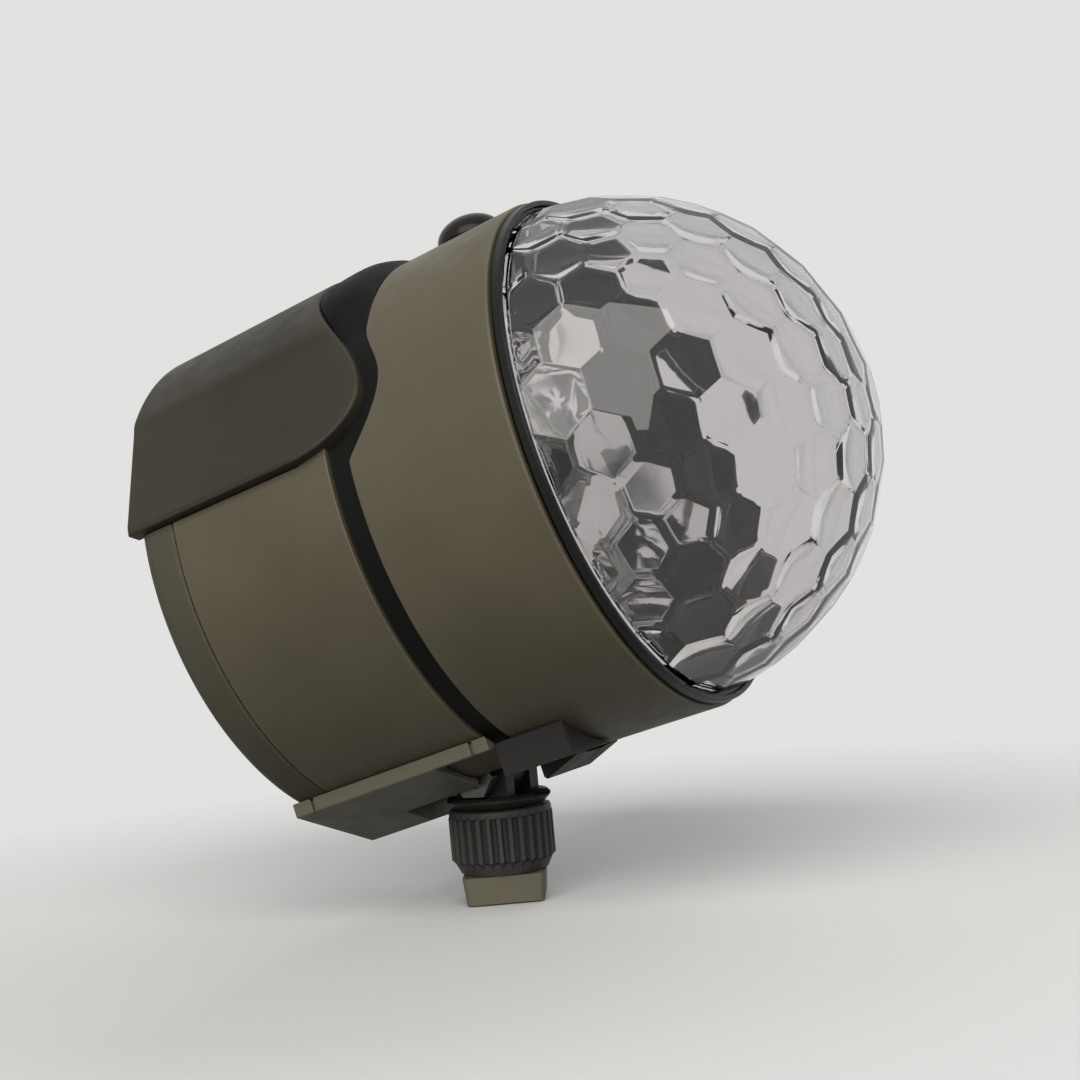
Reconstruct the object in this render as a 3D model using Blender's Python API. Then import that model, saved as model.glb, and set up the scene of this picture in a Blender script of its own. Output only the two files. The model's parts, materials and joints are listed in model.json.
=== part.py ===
"""Crystal ball projector lamp: a round outdoor lamp whose faceted clear dome is turned by a
small motor in front of four LEDs, on a tilting and turning joint with a knurled lock collar.

Metres, +Z up. The origin is the middle of the flat bottom face of the square socket block, and
+Z is the axis on which the joint turns. The lamp shines towards +X and is pitched up at rest.
The head is modelled in its own lamp frame: x along the lamp's axis, 0 at the front rim and
negative backwards, z up, with the axis through y = 0 and z = 0."""

import math

import bmesh
import bpy
from mathutils import Matrix, Vector

# Clearances and shared cutting values
FIT_GAP = 0.0003
RUN_GAP = 0.0006
OVERRUN = 0.0010
EDGE_BREAK = 0.0005
ROUND_STEPS = 48
FINE_STEPS = 32
SMALL_STEPS = 12

# The round body, from the front rim backwards
BODY_RADIUS = 0.0461
FRONT_SHELL_STEP = 0.0003
FRONT_SHELL_FLARE = 0.0006
FRONT_SHELL_LENGTH = 0.0296
MOUTH_WALL = 0.0018
MOUTH_DEPTH = 0.0120
SEAL_WIDTH = 0.0042
REAR_SHELL_LENGTH = 0.0320
SHELL_WALL = 0.0033
SPIGOT_STEP = 0.0018
SPIGOT_WALL = 0.0020
SPIGOT_FRONT = 0.0150
LEDGE_WIDTH = 0.0028
LEDGE_THICKNESS = 0.0023
REAR_CAP_LENGTH = 0.0075

# Radii and places along the body that follow from those sizes
FRONT_SHELL_REAR_RADIUS = BODY_RADIUS + FRONT_SHELL_STEP
RIM_RADIUS = FRONT_SHELL_REAR_RADIUS + FRONT_SHELL_FLARE
MOUTH_RADIUS = RIM_RADIUS - MOUTH_WALL
SPIGOT_RADIUS = BODY_RADIUS - SPIGOT_STEP
SPIGOT_INNER_RADIUS = SPIGOT_RADIUS - SPIGOT_WALL
SHELL_INNER_RADIUS = BODY_RADIUS - SHELL_WALL
FRONT_SHELL_INNER_RADIUS = SPIGOT_RADIUS + FIT_GAP + FIT_GAP / 2
COVER_SEAT_RADIUS = SPIGOT_RADIUS + FIT_GAP / 2
COVER_INNER_RADIUS = COVER_SEAT_RADIUS + FIT_GAP
SHELL_REAR_X = -FRONT_SHELL_LENGTH
REAR_SHELL_FRONT_X = SHELL_REAR_X - SEAL_WIDTH
REAR_SHELL_BACK_X = REAR_SHELL_FRONT_X - REAR_SHELL_LENGTH
CAP_BACK_X = REAR_SHELL_BACK_X - REAR_CAP_LENGTH

# The rear cap, its screws and the power inlet
REAR_CAP_WALL = 0.0025
REAR_CAP_ROUND = 0.0024
REAR_CAP_PLUG_LENGTH = 0.0040
REAR_CAP_PLUG_WALL = 0.0012
REAR_SCREW_INSET = 0.0034
REAR_SCREW_CIRCLE = SHELL_INNER_RADIUS - REAR_SCREW_INSET
REAR_SCREW_ANGLE = math.radians(45)
SCREW_SHANK_RADIUS = 0.0012
SCREW_HEAD_RADIUS = 0.0022
SCREW_HEAD_HEIGHT = 0.0015
SCREW_POST_RADIUS = 0.0030
SCREW_BOSS_RADIUS = 0.0036
SCREW_BOSS_LENGTH = 0.0120
SCREW_SINK_DEPTH = 0.0030
SCREW_LENGTH = 0.0150
SCREW_SLOT_WIDTH = 0.0007
SCREW_SLOT_DEPTH = 0.0007
INLET_DROP = 0.0240
INLET_BORE_RADIUS = 0.00275
INLET_BORE_DEPTH = 0.0085
INLET_WALL = 0.00125
INLET_BARREL_RADIUS = INLET_BORE_RADIUS + INLET_WALL
INLET_BARREL_LENGTH = 0.0120
INLET_FLANGE_WIDTH = 0.0020
INLET_FLANGE_RADIUS = INLET_BARREL_RADIUS + INLET_FLANGE_WIDTH
INLET_FLANGE_HEIGHT = 0.0018
INLET_PIN_RADIUS = 0.0010
INLET_NUT_WALL = 0.0015
INLET_NUT_FLATS = 2 * (INLET_BARREL_RADIUS + INLET_NUT_WALL)
INLET_NUT_HEIGHT = 0.0022

# The top cover, in angles above the horizontal, and the band of seal in front of it
COVER_EDGE_ANGLE = math.radians(15.3)
COVER_CORNER_ANGLE = math.radians(27.0)
COVER_CREST_ANGLE = math.radians(46.0)
COVER_OVERHANG = 0.0009
COVER_CORNER_INSET = 0.0059
COVER_TOP_INSET = 0.0038
COVER_NOSE_REACH = 0.0040
COVER_BACK = -CAP_BACK_X + COVER_OVERHANG
COVER_CORNER_BACK = -REAR_SHELL_FRONT_X + COVER_CORNER_INSET
COVER_TOP_BACK = -REAR_SHELL_FRONT_X + COVER_TOP_INSET
COVER_NOSE_BACK = FRONT_SHELL_LENGTH - COVER_NOSE_REACH
COVER_FLANK_RISE = 0.0005
COVER_REAR_RISE = 0.0018
COVER_FRONT_RISE = 0.0028
COVER_FLANK_RADIUS = BODY_RADIUS + COVER_FLANK_RISE
COVER_TOP_RADIUS_REAR = BODY_RADIUS + COVER_REAR_RISE
COVER_TOP_RADIUS_FRONT = BODY_RADIUS + COVER_FRONT_RISE
COVER_CORNER_STEPS = 7
COVER_FLANK_STEPS = 25
SEAM_TOP_STEPS = 28
SEAM_BELOW_STEPS = 40
SCALLOP_START_ANGLE = math.radians(11.5)
SCALLOP_NOSE_ANGLE = math.radians(28.0)
SCALLOP_END_ANGLE = math.radians(42.0)
SCALLOP_TOP_DEPTH = 0.0052
SEAL_NOSE_WIDTH = 0.0039
SCALLOP_NOSE_BACK = COVER_NOSE_BACK - SEAL_NOSE_WIDTH
SCALLOP_TOP_BACK = FRONT_SHELL_LENGTH - SCALLOP_TOP_DEPTH
SEAL_SINK = 0.0008
SEAL_LIP_SINK = 0.0001
SEAL_RADIUS = BODY_RADIUS - SEAL_SINK
SEAL_LIP_RADIUS = COVER_TOP_RADIUS_FRONT - SEAL_LIP_SINK
SEAL_LIP_START_ANGLE = math.radians(42.0)
SEAL_LIP_END_ANGLE = math.radians(58.0)
SEAL_SHOULDER_SHARE = 0.2
SEAL_SHOULDER_RISE_SHARE = 0.6
SEAL_REAR_FALL_SHARE = 0.2

# The stem, its lock collar and the socket block, from the shank outwards
SHANK_RADIUS = 0.0060
SHANK_BOTTOM = 0.0073
BOSS_WALL = 0.0011
BOSS_RADIUS = SHANK_RADIUS + FIT_GAP + BOSS_WALL
COLLAR_BORE_RADIUS = BOSS_RADIUS + FIT_GAP
COLLAR_WALL = 0.0018
COLLAR_RADIUS = COLLAR_BORE_RADIUS + COLLAR_WALL
COLLAR_RIB_DEPTH = 0.0006
COLLAR_RIBS = 30
COLLAR_BOTTOM = 0.0052
COLLAR_FOOT_WALL = 0.0003
COLLAR_BOTTOM_RADIUS = COLLAR_BORE_RADIUS + COLLAR_FOOT_WALL
COLLAR_TAPER = 0.0021
COLLAR_RIB_BOTTOM = COLLAR_BOTTOM + COLLAR_TAPER
COLLAR_WEB_THICKNESS = 0.0028
BAND_RADIUS = COLLAR_RADIUS
BAND_TOP = 0.0190
BAND_HEIGHT = 0.0021
BAND_CHAMFER = 0.0012
BAND_BOTTOM = BAND_TOP - BAND_HEIGHT
COLLAR_TOP = BAND_BOTTOM - FIT_GAP
BOSS_TOP = COLLAR_TOP - COLLAR_WEB_THICKNESS - FIT_GAP
BLOCK_TOP = COLLAR_BOTTOM - FIT_GAP
BLOCK_TOP_WIDTH = 0.0149
BLOCK_BOTTOM_WIDTH = 0.0140
BLOCK_CORNER_ROUND = 0.0012
BLOCK_TURN = math.radians(23)

# The tilt joint, from the bolt outwards, and the pocket under the body in which it swings
LAMP_PITCH = math.radians(15)
PIVOT_RISE = 0.0040
PIVOT_HEIGHT = BAND_TOP + PIVOT_RISE
BOLT_RADIUS = 0.0020
BOLT_HEAD_FLATS = 0.0070
BOLT_HEAD_HEIGHT = 0.0030
BOLT_SOCKET_RADIUS = 0.0017
BOLT_SOCKET_DEPTH = 0.0015
NUT_HEIGHT = 0.0026
EAR_WALL = 0.0025
EAR_RADIUS = BOLT_RADIUS + EAR_WALL
EAR_HALF_WIDTH = 0.0030
CHEEK_WALL = 0.0030
CHEEK_RADIUS = BOLT_RADIUS + CHEEK_WALL
CHEEK_WIDTH = 0.0035
FORK_HALF_WIDTH = EAR_HALF_WIDTH + FIT_GAP + CHEEK_WIDTH
SLOT_BOTTOM = PIVOT_HEIGHT - EAR_RADIUS - FIT_GAP
MOUNT_PLATE_THICKNESS = 0.0020
MOUNT_PLATE_EDGE = 0.0026
MOUNT_SCREW_SPREAD = 0.0068
MOUNT_PLATE_HALF_WIDTH = MOUNT_SCREW_SPREAD + MOUNT_PLATE_EDGE
POCKET_WALL = 0.0020
POCKET_LAND = 0.0005
POCKET_SIDE_ROOM = 0.0011
POCKET_RADIUS = math.hypot(BAND_RADIUS, PIVOT_HEIGHT - BAND_BOTTOM - BAND_CHAMFER) + RUN_GAP
POCKET_CEILING = CHEEK_RADIUS + RUN_GAP + MOUNT_PLATE_THICKNESS + FIT_GAP
POCKET_HALF_WIDTH = FORK_HALF_WIDTH + FIT_GAP + BOLT_HEAD_HEIGHT + POCKET_SIDE_ROOM
PIVOT_SINK = 0.00145
PIVOT_BACK = -REAR_SHELL_FRONT_X + POCKET_LAND + POCKET_RADIUS
PIVOT_DROP = BODY_RADIUS - PIVOT_SINK

# The keel under the body, with its notch for the joint
KEEL_HALF_WIDTH = 0.0254
KEEL_STRIP_SINK = 0.0047
KEEL_DEPTH = 0.0033
KEEL_STRIP_DROP = BODY_RADIUS - KEEL_STRIP_SINK
KEEL_RIDGE_DROP = BODY_RADIUS + KEEL_DEPTH
KEEL_RIDGE_HALF_WIDTH = 0.0038
KEEL_SEAT_HEIGHT = 0.0066
KEEL_BACK_INSET = 0.0003
KEEL_FLANK_SETBACK = 0.0019
KEEL_NOTCH_ROOM = 0.0024
KEEL_BACK = -CAP_BACK_X - KEEL_BACK_INSET
KEEL_FLANK_FRONT = PIVOT_BACK - KEEL_FLANK_SETBACK
KEEL_NOTCH_HALF_WIDTH = POCKET_HALF_WIDTH + FIT_GAP
KEEL_NOTCH_REACH = POCKET_RADIUS + KEEL_NOTCH_ROOM
KEEL_SEAM_WIDTH = 0.0006
KEEL_SEAM_DEPTH = 0.0008

# The cross pad in front of the joint
PAD_SETBACK = 0.0016
PAD_LENGTH = 0.0132
PAD_BACK = -REAR_SHELL_FRONT_X - PAD_SETBACK
PAD_FRONT = PAD_BACK - PAD_LENGTH
PAD_HALF_WIDTH = 0.0235
PAD_SEAT_HEIGHT = 0.0132
PAD_DEPTH = 0.0004
PAD_DROP = BODY_RADIUS + PAD_DEPTH
PAD_RIB_HALF_WIDTH = 0.0094
PAD_RIB_DEPTH = 0.0026
PAD_RIB_DROP = PAD_DROP + PAD_RIB_DEPTH
PAD_RIB_LENGTH = 0.0072
PAD_RIB_FRONT = PAD_BACK - PAD_RIB_LENGTH
PAD_SCREW_SPREAD = 0.0165

# The dome and what turns it
CARRIER_WALL = 0.0010
CARRIER_DEPTH = 0.0060
CARRIER_FLANGE_FRONT = 0.0013
CARRIER_FLANGE_BACK = 0.0005
CARRIER_LIP_FRONT = 0.0022
CARRIER_RADIUS = MOUTH_RADIUS - RUN_GAP
CARRIER_LIP_RADIUS = RIM_RADIUS - EDGE_BREAK
CARRIER_LIP_INNER_RADIUS = CARRIER_LIP_RADIUS - CARRIER_WALL
SPOKE_COUNT = 3
SPOKE_WIDTH = 0.0050
SPOKE_FRONT = 0.0036
HUB_WEB = 0.0009
DOME_LIP_ROOM = 0.0008
DOME_CENTRE_BACK = 0.0019
DOME_FACET_RADIUS = CARRIER_LIP_INNER_RADIUS - DOME_LIP_ROOM
DOME_WALL = 0.0024
DOME_BASE = CARRIER_FLANGE_FRONT + FIT_GAP
DOME_PLUG_RADIUS = CARRIER_RADIUS - CARRIER_WALL - FIT_GAP
DOME_PLUG_LENGTH = DOME_BASE + SPOKE_FRONT - RUN_GAP
DOME_TURN = math.radians(65)
FACET_SPLITS = 3
HUB_SCREW_LENGTH = 0.0060

# Light and drive, behind the dome
PLATE_THICKNESS = 0.0030
BOARD_RADIUS = 0.0240
BOARD_FRONT_BACK = 0.0177
BOARD_THICKNESS = 0.0016
BOARD_FRONT_X = -BOARD_FRONT_BACK
PLATE_FRONT_X = BOARD_FRONT_X - BOARD_THICKNESS - FIT_GAP
PLATE_BACK_X = PLATE_FRONT_X - PLATE_THICKNESS
LEDGE_FRONT_X = PLATE_BACK_X - FIT_GAP
REFLECTOR_FLARE = 0.0003
REFLECTOR_BASE_X = BOARD_FRONT_X + FIT_GAP
REFLECTOR_RIM_RADIUS = SPIGOT_INNER_RADIUS + REFLECTOR_FLARE
REFLECTOR_RIM_BACK = CARRIER_DEPTH + RUN_GAP + RUN_GAP
REFLECTOR_HOLE_RADIUS = 0.0195
REFLECTOR_WALL = 0.0008
REFLECTOR_STEPS = 5
LED_COUNT = 4
LED_CIRCLE = 0.0120
LED_TURN = math.radians(45)
LED_WIDTH = 0.0050
LED_HEIGHT = 0.0012
LENS_RADIUS = 0.0065
LENS_FOOT_RADIUS = 0.0052
LENS_FRONT_BACK = 0.0080
LENS_CUP_RADIUS = 0.0042
LENS_CUP_DEPTH = 0.0017
HUB_RADIUS = 0.0070
HUB_BACK = LENS_FRONT_BACK - RUN_GAP
MOTOR_FRONT_X = PLATE_BACK_X - FIT_GAP
MOTOR_GEARBOX_RADIUS = 0.0125
MOTOR_GEARBOX_LENGTH = 0.0095
MOTOR_CAN_RADIUS = 0.0105
MOTOR_CAN_LENGTH = 0.0150
MOTOR_BORE_DEPTH = 0.0045
MOTOR_SCREW_SPREAD = 0.0085
MOTOR_SCREW_LENGTH = 0.0090
SHAFT_RADIUS = 0.0020
SHAFT_END_ROOM = 0.0020
SHAFT_FRONT = SPOKE_FRONT + HUB_WEB
SHAFT_BACK = -MOTOR_FRONT_X + MOTOR_BORE_DEPTH - SHAFT_END_ROOM
PLATE_BORE_ROOM = 0.0015
PLATE_BORE_RADIUS = SHAFT_RADIUS + PLATE_BORE_ROOM

# Electronics
DRIVER_BOARD_WIDTH = 0.0500
DRIVER_BOARD_HEIGHT = 0.0300
DRIVER_STANDOFF = 0.0157
DRIVER_BOARD_BACK = -CAP_BACK_X - DRIVER_STANDOFF
DRIVER_POST_RADIUS = 0.0030
DRIVER_HOLE_INSET = 0.0050
DRIVER_POST_SPREAD = DRIVER_BOARD_WIDTH / 2 - DRIVER_HOLE_INSET
DRIVER_SCREW_LENGTH = 0.0070
WINDOW_PROUD = 0.0047
WINDOW_WALL = 0.0014
WINDOW_STEM_RADIUS = 0.0049
WINDOW_FLANGE_WIDTH = 0.00135
WINDOW_RADIUS = WINDOW_STEM_RADIUS + WINDOW_FLANGE_WIDTH
WINDOW_SEAM_ROOM = 0.00225
WINDOW_BACK = SCALLOP_TOP_BACK - WINDOW_RADIUS - WINDOW_SEAM_ROOM
WINDOW_STEM_DEPTH = 0.0021
WINDOW_STEM_END = RIM_RADIUS - WINDOW_STEM_DEPTH
SENSOR_DEPTH = 0.0040
SENSOR_BOTTOM = RIM_RADIUS - SENSOR_DEPTH


def clear_scene():
    """Start from an empty scene."""
    for old in list(bpy.data.objects):
        bpy.data.objects.remove(old, do_unlink=True)


def make_material(name, colour, roughness, metallic=0.0, alpha=1.0):
    """A plain Principled material in the colour that the photograph shows."""
    material = bpy.data.materials.new(name)
    material.use_nodes = True
    shader = material.node_tree.nodes["Principled BSDF"]
    shader.inputs["Base Color"].default_value = (*colour, 1.0)
    shader.inputs["Roughness"].default_value = roughness
    shader.inputs["Metallic"].default_value = metallic
    shader.inputs["Alpha"].default_value = alpha
    return material


def make_frame(name, location, rotation):
    """An empty that carries one moving body and stands on its joint's axis."""
    frame = bpy.data.objects.new(name, None)
    frame.location = location
    frame.rotation_euler = rotation
    bpy.context.scene.collection.objects.link(frame)
    return frame


def add_object(name, shape, material=None, frame=None, origin=(0, 0, 0)):
    """Turn a bmesh into an object, facing out and shaded smooth over its round faces."""
    bmesh.ops.remove_doubles(shape, verts=shape.verts, dist=FIT_GAP / 100)
    bmesh.ops.recalc_face_normals(shape, faces=shape.faces)
    mesh = bpy.data.meshes.new(name)
    shape.to_mesh(mesh)
    shape.free()
    mesh.shade_smooth()
    mesh.set_sharp_from_angle(angle=math.radians(30))
    made = bpy.data.objects.new(name, mesh)
    bpy.context.scene.collection.objects.link(made)
    made.location = origin
    if frame:
        made.parent = frame
    if material:
        made.data.materials.append(material)
    return made


def skin(loops, cyclic=False):
    """A closed solid through a row of loops that have the same number of points."""
    shape = bmesh.new()
    rows = [[shape.verts.new(point) for point in loop] for loop in loops]
    count = len(rows[0])
    pairs = list(zip(rows, rows[1:]))
    if cyclic:
        pairs.append((rows[-1], rows[0]))
    for one, two in pairs:
        for k in range(count):
            after = (k + 1) % count
            shape.faces.new((one[k], one[after], two[after], two[k]))
    if not cyclic:
        shape.faces.new(rows[0])
        shape.faces.new(list(reversed(rows[-1])))
    return shape


def turned(profile, steps, axis="X"):
    """A solid of revolution from a closed outline of (place along the axis, radius). Its first
    column stands half a step off, so that no column lies in the lamp's middle plane."""
    loops = []
    for k in range(steps):
        angle = math.tau * (k + 0.5) / steps
        side, rise = math.cos(angle), math.sin(angle)
        if axis == "X":
            loops.append([(along, radius * side, radius * rise) for along, radius in profile])
        elif axis == "Y":
            loops.append([(radius * side, along, radius * rise) for along, radius in profile])
        else:
            loops.append([(radius * side, radius * rise, along) for along, radius in profile])
    shape = skin(loops, cyclic=True)
    bmesh.ops.remove_doubles(shape, verts=shape.verts, dist=FIT_GAP / 100)
    flat = [face for face in shape.faces if face.calc_area() < FIT_GAP**2 / 100]
    bmesh.ops.delete(shape, geom=flat, context="FACES")
    loose = [edge for edge in shape.edges if not edge.link_faces]
    bmesh.ops.delete(shape, geom=loose, context="EDGES")
    bmesh.ops.dissolve_verts(shape, verts=flat_hubs(shape, "XYZ".index(axis)))
    return shape


def flat_hubs(shape, along):
    """The middle vertices of flat round ends, which aren't needed."""
    hubs = []
    for vertex in shape.verts:
        height = vertex.co[along]
        ring = [other for face in vertex.link_faces for other in face.verts]
        if len(vertex.link_edges) > 4 and all(abs(other.co[along] - height) < FIT_GAP / 100
                                              for other in ring):
            hubs.append(vertex)
    return hubs


def prism(outline, low, high, axis):
    """A straight solid: an outline in the two other axes, from low to high along one."""
    def place(point, along):
        first, second = point
        return {"X": (along, first, second), "Y": (first, along, second),
                "Z": (first, second, along)}[axis]
    return skin([[place(point, low) for point in outline],
                 [place(point, high) for point in outline]])


def block(low, high):
    """A box between two corners."""
    outline = [(low[0], low[1]), (high[0], low[1]), (high[0], high[1]), (low[0], high[1])]
    return prism(outline, low[2], high[2], "Z")


def arc(centre, radius, start, end, steps):
    """Points on an arc, both ends included, angles in radians."""
    turn = end - start
    return [(centre[0] + radius * math.cos(start + turn * k / steps),
             centre[1] + radius * math.sin(start + turn * k / steps)) for k in range(steps + 1)]


def polygon(sides, flats, turn=0.0):
    """A regular outline of a given size across its flats."""
    radius = flats / 2 / math.cos(math.pi / sides)
    return [(radius * math.cos(turn + math.tau * k / sides),
             radius * math.sin(turn + math.tau * k / sides)) for k in range(sides)]


def moved(shape, offset, rotation=None):
    """Move a bmesh, after turning it about the origin where a rotation is given."""
    if rotation:
        bmesh.ops.transform(shape, matrix=rotation, verts=shape.verts)
    bmesh.ops.translate(shape, vec=Vector(offset), verts=shape.verts)
    return shape


def combine(target, shape, operation, label):
    """Join a helper shape to an object or cut it away, with an exact Boolean."""
    helper = add_object(f"{target.name}_{label}", shape, frame=target.parent,
                        origin=target.location)
    helper.hide_render = True
    helper.display_type = "WIRE"
    helper.hide_set(True)
    step = target.modifiers.new(label, "BOOLEAN")
    step.operation = operation
    step.solver = "EXACT"
    step.object = helper
    return helper


def cut(target, shape, label):
    """Take a helper shape away from an object."""
    combine(target, shape, "DIFFERENCE", label)


def join(target, shape, label):
    """Add a helper shape to an object."""
    combine(target, shape, "UNION", label)


def smooth_step(value, low, high):
    """0 below low, 1 above high, and an even S between them."""
    share = min(max((value - low) / (high - low), 0.0), 1.0)
    return share * share * (3 - 2 * share)


def folded(angle):
    """The same height on either side of the body: an angle above the horizontal, at most 90
    degrees, and negative below the horizontal."""
    level = math.atan2(math.sin(angle), abs(math.cos(angle)))
    return level


def cover_front(angle):
    """How far back the top cover's front edge lies at an angle above the horizontal."""
    level = folded(angle)
    if level < COVER_CORNER_ANGLE:
        share = (COVER_CORNER_ANGLE - level) / (COVER_CORNER_ANGLE - COVER_EDGE_ANGLE)
        reach = math.sqrt(max(1 - share * share, 0.0))
        return COVER_CORNER_BACK - (COVER_CORNER_BACK - COVER_NOSE_BACK) * reach
    share = (level - COVER_CORNER_ANGLE) / (math.pi / 2 - COVER_CORNER_ANGLE)
    swing = (0.5 + 0.5 * math.cos(math.pi * share)) ** 3
    return COVER_TOP_BACK - (COVER_TOP_BACK - COVER_NOSE_BACK) * swing


def scallop(angle):
    """How far back the front shell's rear edge lies: it gives way round the cover's nose."""
    level = folded(angle)
    if level < SCALLOP_START_ANGLE:
        return FRONT_SHELL_LENGTH
    if level < SCALLOP_NOSE_ANGLE:
        share = (SCALLOP_NOSE_ANGLE - level) / (SCALLOP_NOSE_ANGLE - SCALLOP_START_ANGLE)
        reach = math.cos(math.pi / 2 * share)
        return FRONT_SHELL_LENGTH - (FRONT_SHELL_LENGTH - SCALLOP_NOSE_BACK) * reach
    share = smooth_step(level, SCALLOP_NOSE_ANGLE, SCALLOP_END_ANGLE)
    return SCALLOP_NOSE_BACK + (SCALLOP_TOP_BACK - SCALLOP_NOSE_BACK) * share


def cover_radius(angle, back):
    """The top cover's outer radius: flat flanks up to a crest, and a round top that flares
    a little towards the front."""
    level = folded(angle)
    middle = (COVER_EDGE_ANGLE + COVER_CREST_ANGLE) / 2
    flank = COVER_FLANK_RADIUS / math.cos(level - middle)
    share = (COVER_BACK - back) / (COVER_BACK - COVER_NOSE_BACK)
    top = COVER_TOP_RADIUS_REAR + (COVER_TOP_RADIUS_FRONT - COVER_TOP_RADIUS_REAR) * share
    if level > COVER_CREST_ANGLE:
        return top
    return min(flank, top)


def around(angle, back, radius):
    """A point on the round body in the lamp frame, from an angle above the horizontal on the
    -y side, over the top, to the +y side."""
    return (-back, -radius * math.cos(angle), radius * math.sin(angle))


def corner_angles():
    """The columns of the top cover's lower front corner, close together where it turns."""
    spread = COVER_CORNER_ANGLE - COVER_EDGE_ANGLE
    return [COVER_CORNER_ANGLE - spread * math.cos(math.pi / 2 * k / COVER_CORNER_STEPS)
            for k in range(COVER_CORNER_STEPS)]


def cover_angles():
    """The columns of the top cover, from its lower edge on the -y side over the top."""
    near = corner_angles()
    middle = [COVER_CORNER_ANGLE + (math.pi - 2 * COVER_CORNER_ANGLE) * k / COVER_FLANK_STEPS
              for k in range(COVER_FLANK_STEPS + 1)]
    far = [math.pi - angle for angle in reversed(near)]
    return near + middle + far


def top_cover(frame, origin, material):
    """The long raised cover over the rear shell, with rounded lower front corners."""
    loops = []
    for angle in cover_angles():
        back, front = COVER_BACK, cover_front(angle)
        inner = COVER_INNER_RADIUS
        rear_radius = cover_radius(angle, back)
        front_radius = cover_radius(angle, front)
        loops.append([
            around(angle, back, inner),
            around(angle, front, inner),
            around(angle, front, front_radius - EDGE_BREAK),
            around(angle, front + EDGE_BREAK, front_radius),
            around(angle, back - EDGE_BREAK, rear_radius),
            around(angle, back, rear_radius - EDGE_BREAK)])
    return add_object("top_cover", skin(loops), material, frame, origin)


def cover_seat():
    """What the rear shell and its cap give up for the top cover, as a cutter."""
    loops = []
    seat_gap_angle = FIT_GAP / BODY_RADIUS
    angles = cover_angles()
    angles[0] -= seat_gap_angle
    angles[-1] += seat_gap_angle
    for angle in angles:
        front = min(cover_front(angle) - FIT_GAP, -REAR_SHELL_FRONT_X - OVERRUN)
        if folded(angle) < COVER_CORNER_ANGLE:
            front = cover_front(angle) - FIT_GAP
        back = -CAP_BACK_X + OVERRUN
        outer = BODY_RADIUS + OVERRUN
        loops.append([
            around(angle, back, COVER_SEAT_RADIUS),
            around(angle, front, COVER_SEAT_RADIUS),
            around(angle, front, outer),
            around(angle, back, outer)])
    return skin(loops)


def seam_angles():
    """The columns over the top, which the scalloped edge and the seal behind it share."""
    near = [SCALLOP_START_ANGLE] + corner_angles()
    span = math.pi - 2 * COVER_CORNER_ANGLE
    middle = [COVER_CORNER_ANGLE + span * k / SEAM_TOP_STEPS for k in range(SEAM_TOP_STEPS + 1)]
    return near + middle + [math.pi - angle for angle in reversed(near)]


def scallop_cutter():
    """What the front shell gives up round the cover's nose and over the top."""
    loops = []
    outer = RIM_RADIUS + OVERRUN
    inner = FRONT_SHELL_INNER_RADIUS - OVERRUN
    for angle in seam_angles():
        back = FRONT_SHELL_LENGTH + OVERRUN
        front = min(scallop(angle), FRONT_SHELL_LENGTH - FIT_GAP / 10)
        loops.append([
            around(angle, back, inner),
            around(angle, front, inner),
            around(angle, front, outer),
            around(angle, back, outer)])
    return skin(loops)


def front_shell(frame, origin, material):
    """The front ring of the body, open in front, with a scalloped rear edge."""
    profile = [
        (0, RIM_RADIUS - EDGE_BREAK),
        (-EDGE_BREAK, RIM_RADIUS),
        (SHELL_REAR_X + EDGE_BREAK, FRONT_SHELL_REAR_RADIUS),
        (SHELL_REAR_X, FRONT_SHELL_REAR_RADIUS - EDGE_BREAK),
        (SHELL_REAR_X, FRONT_SHELL_INNER_RADIUS),
        (-MOUTH_DEPTH, FRONT_SHELL_INNER_RADIUS),
        (-MOUTH_DEPTH + OVERRUN, MOUTH_RADIUS),
        (0, MOUTH_RADIUS)]
    shell = add_object("front_shell", turned(profile, ROUND_STEPS), material, frame, origin)
    cut(shell, scallop_cutter(), "scallop")
    cut(shell, window_cutter(), "window_hole")
    for k, side in enumerate((-PAD_SCREW_SPREAD, PAD_SCREW_SPREAD)):
        cut(shell, pad_screw_hole(side), f"pad_hole_{k + 1}")
    return shell


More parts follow.
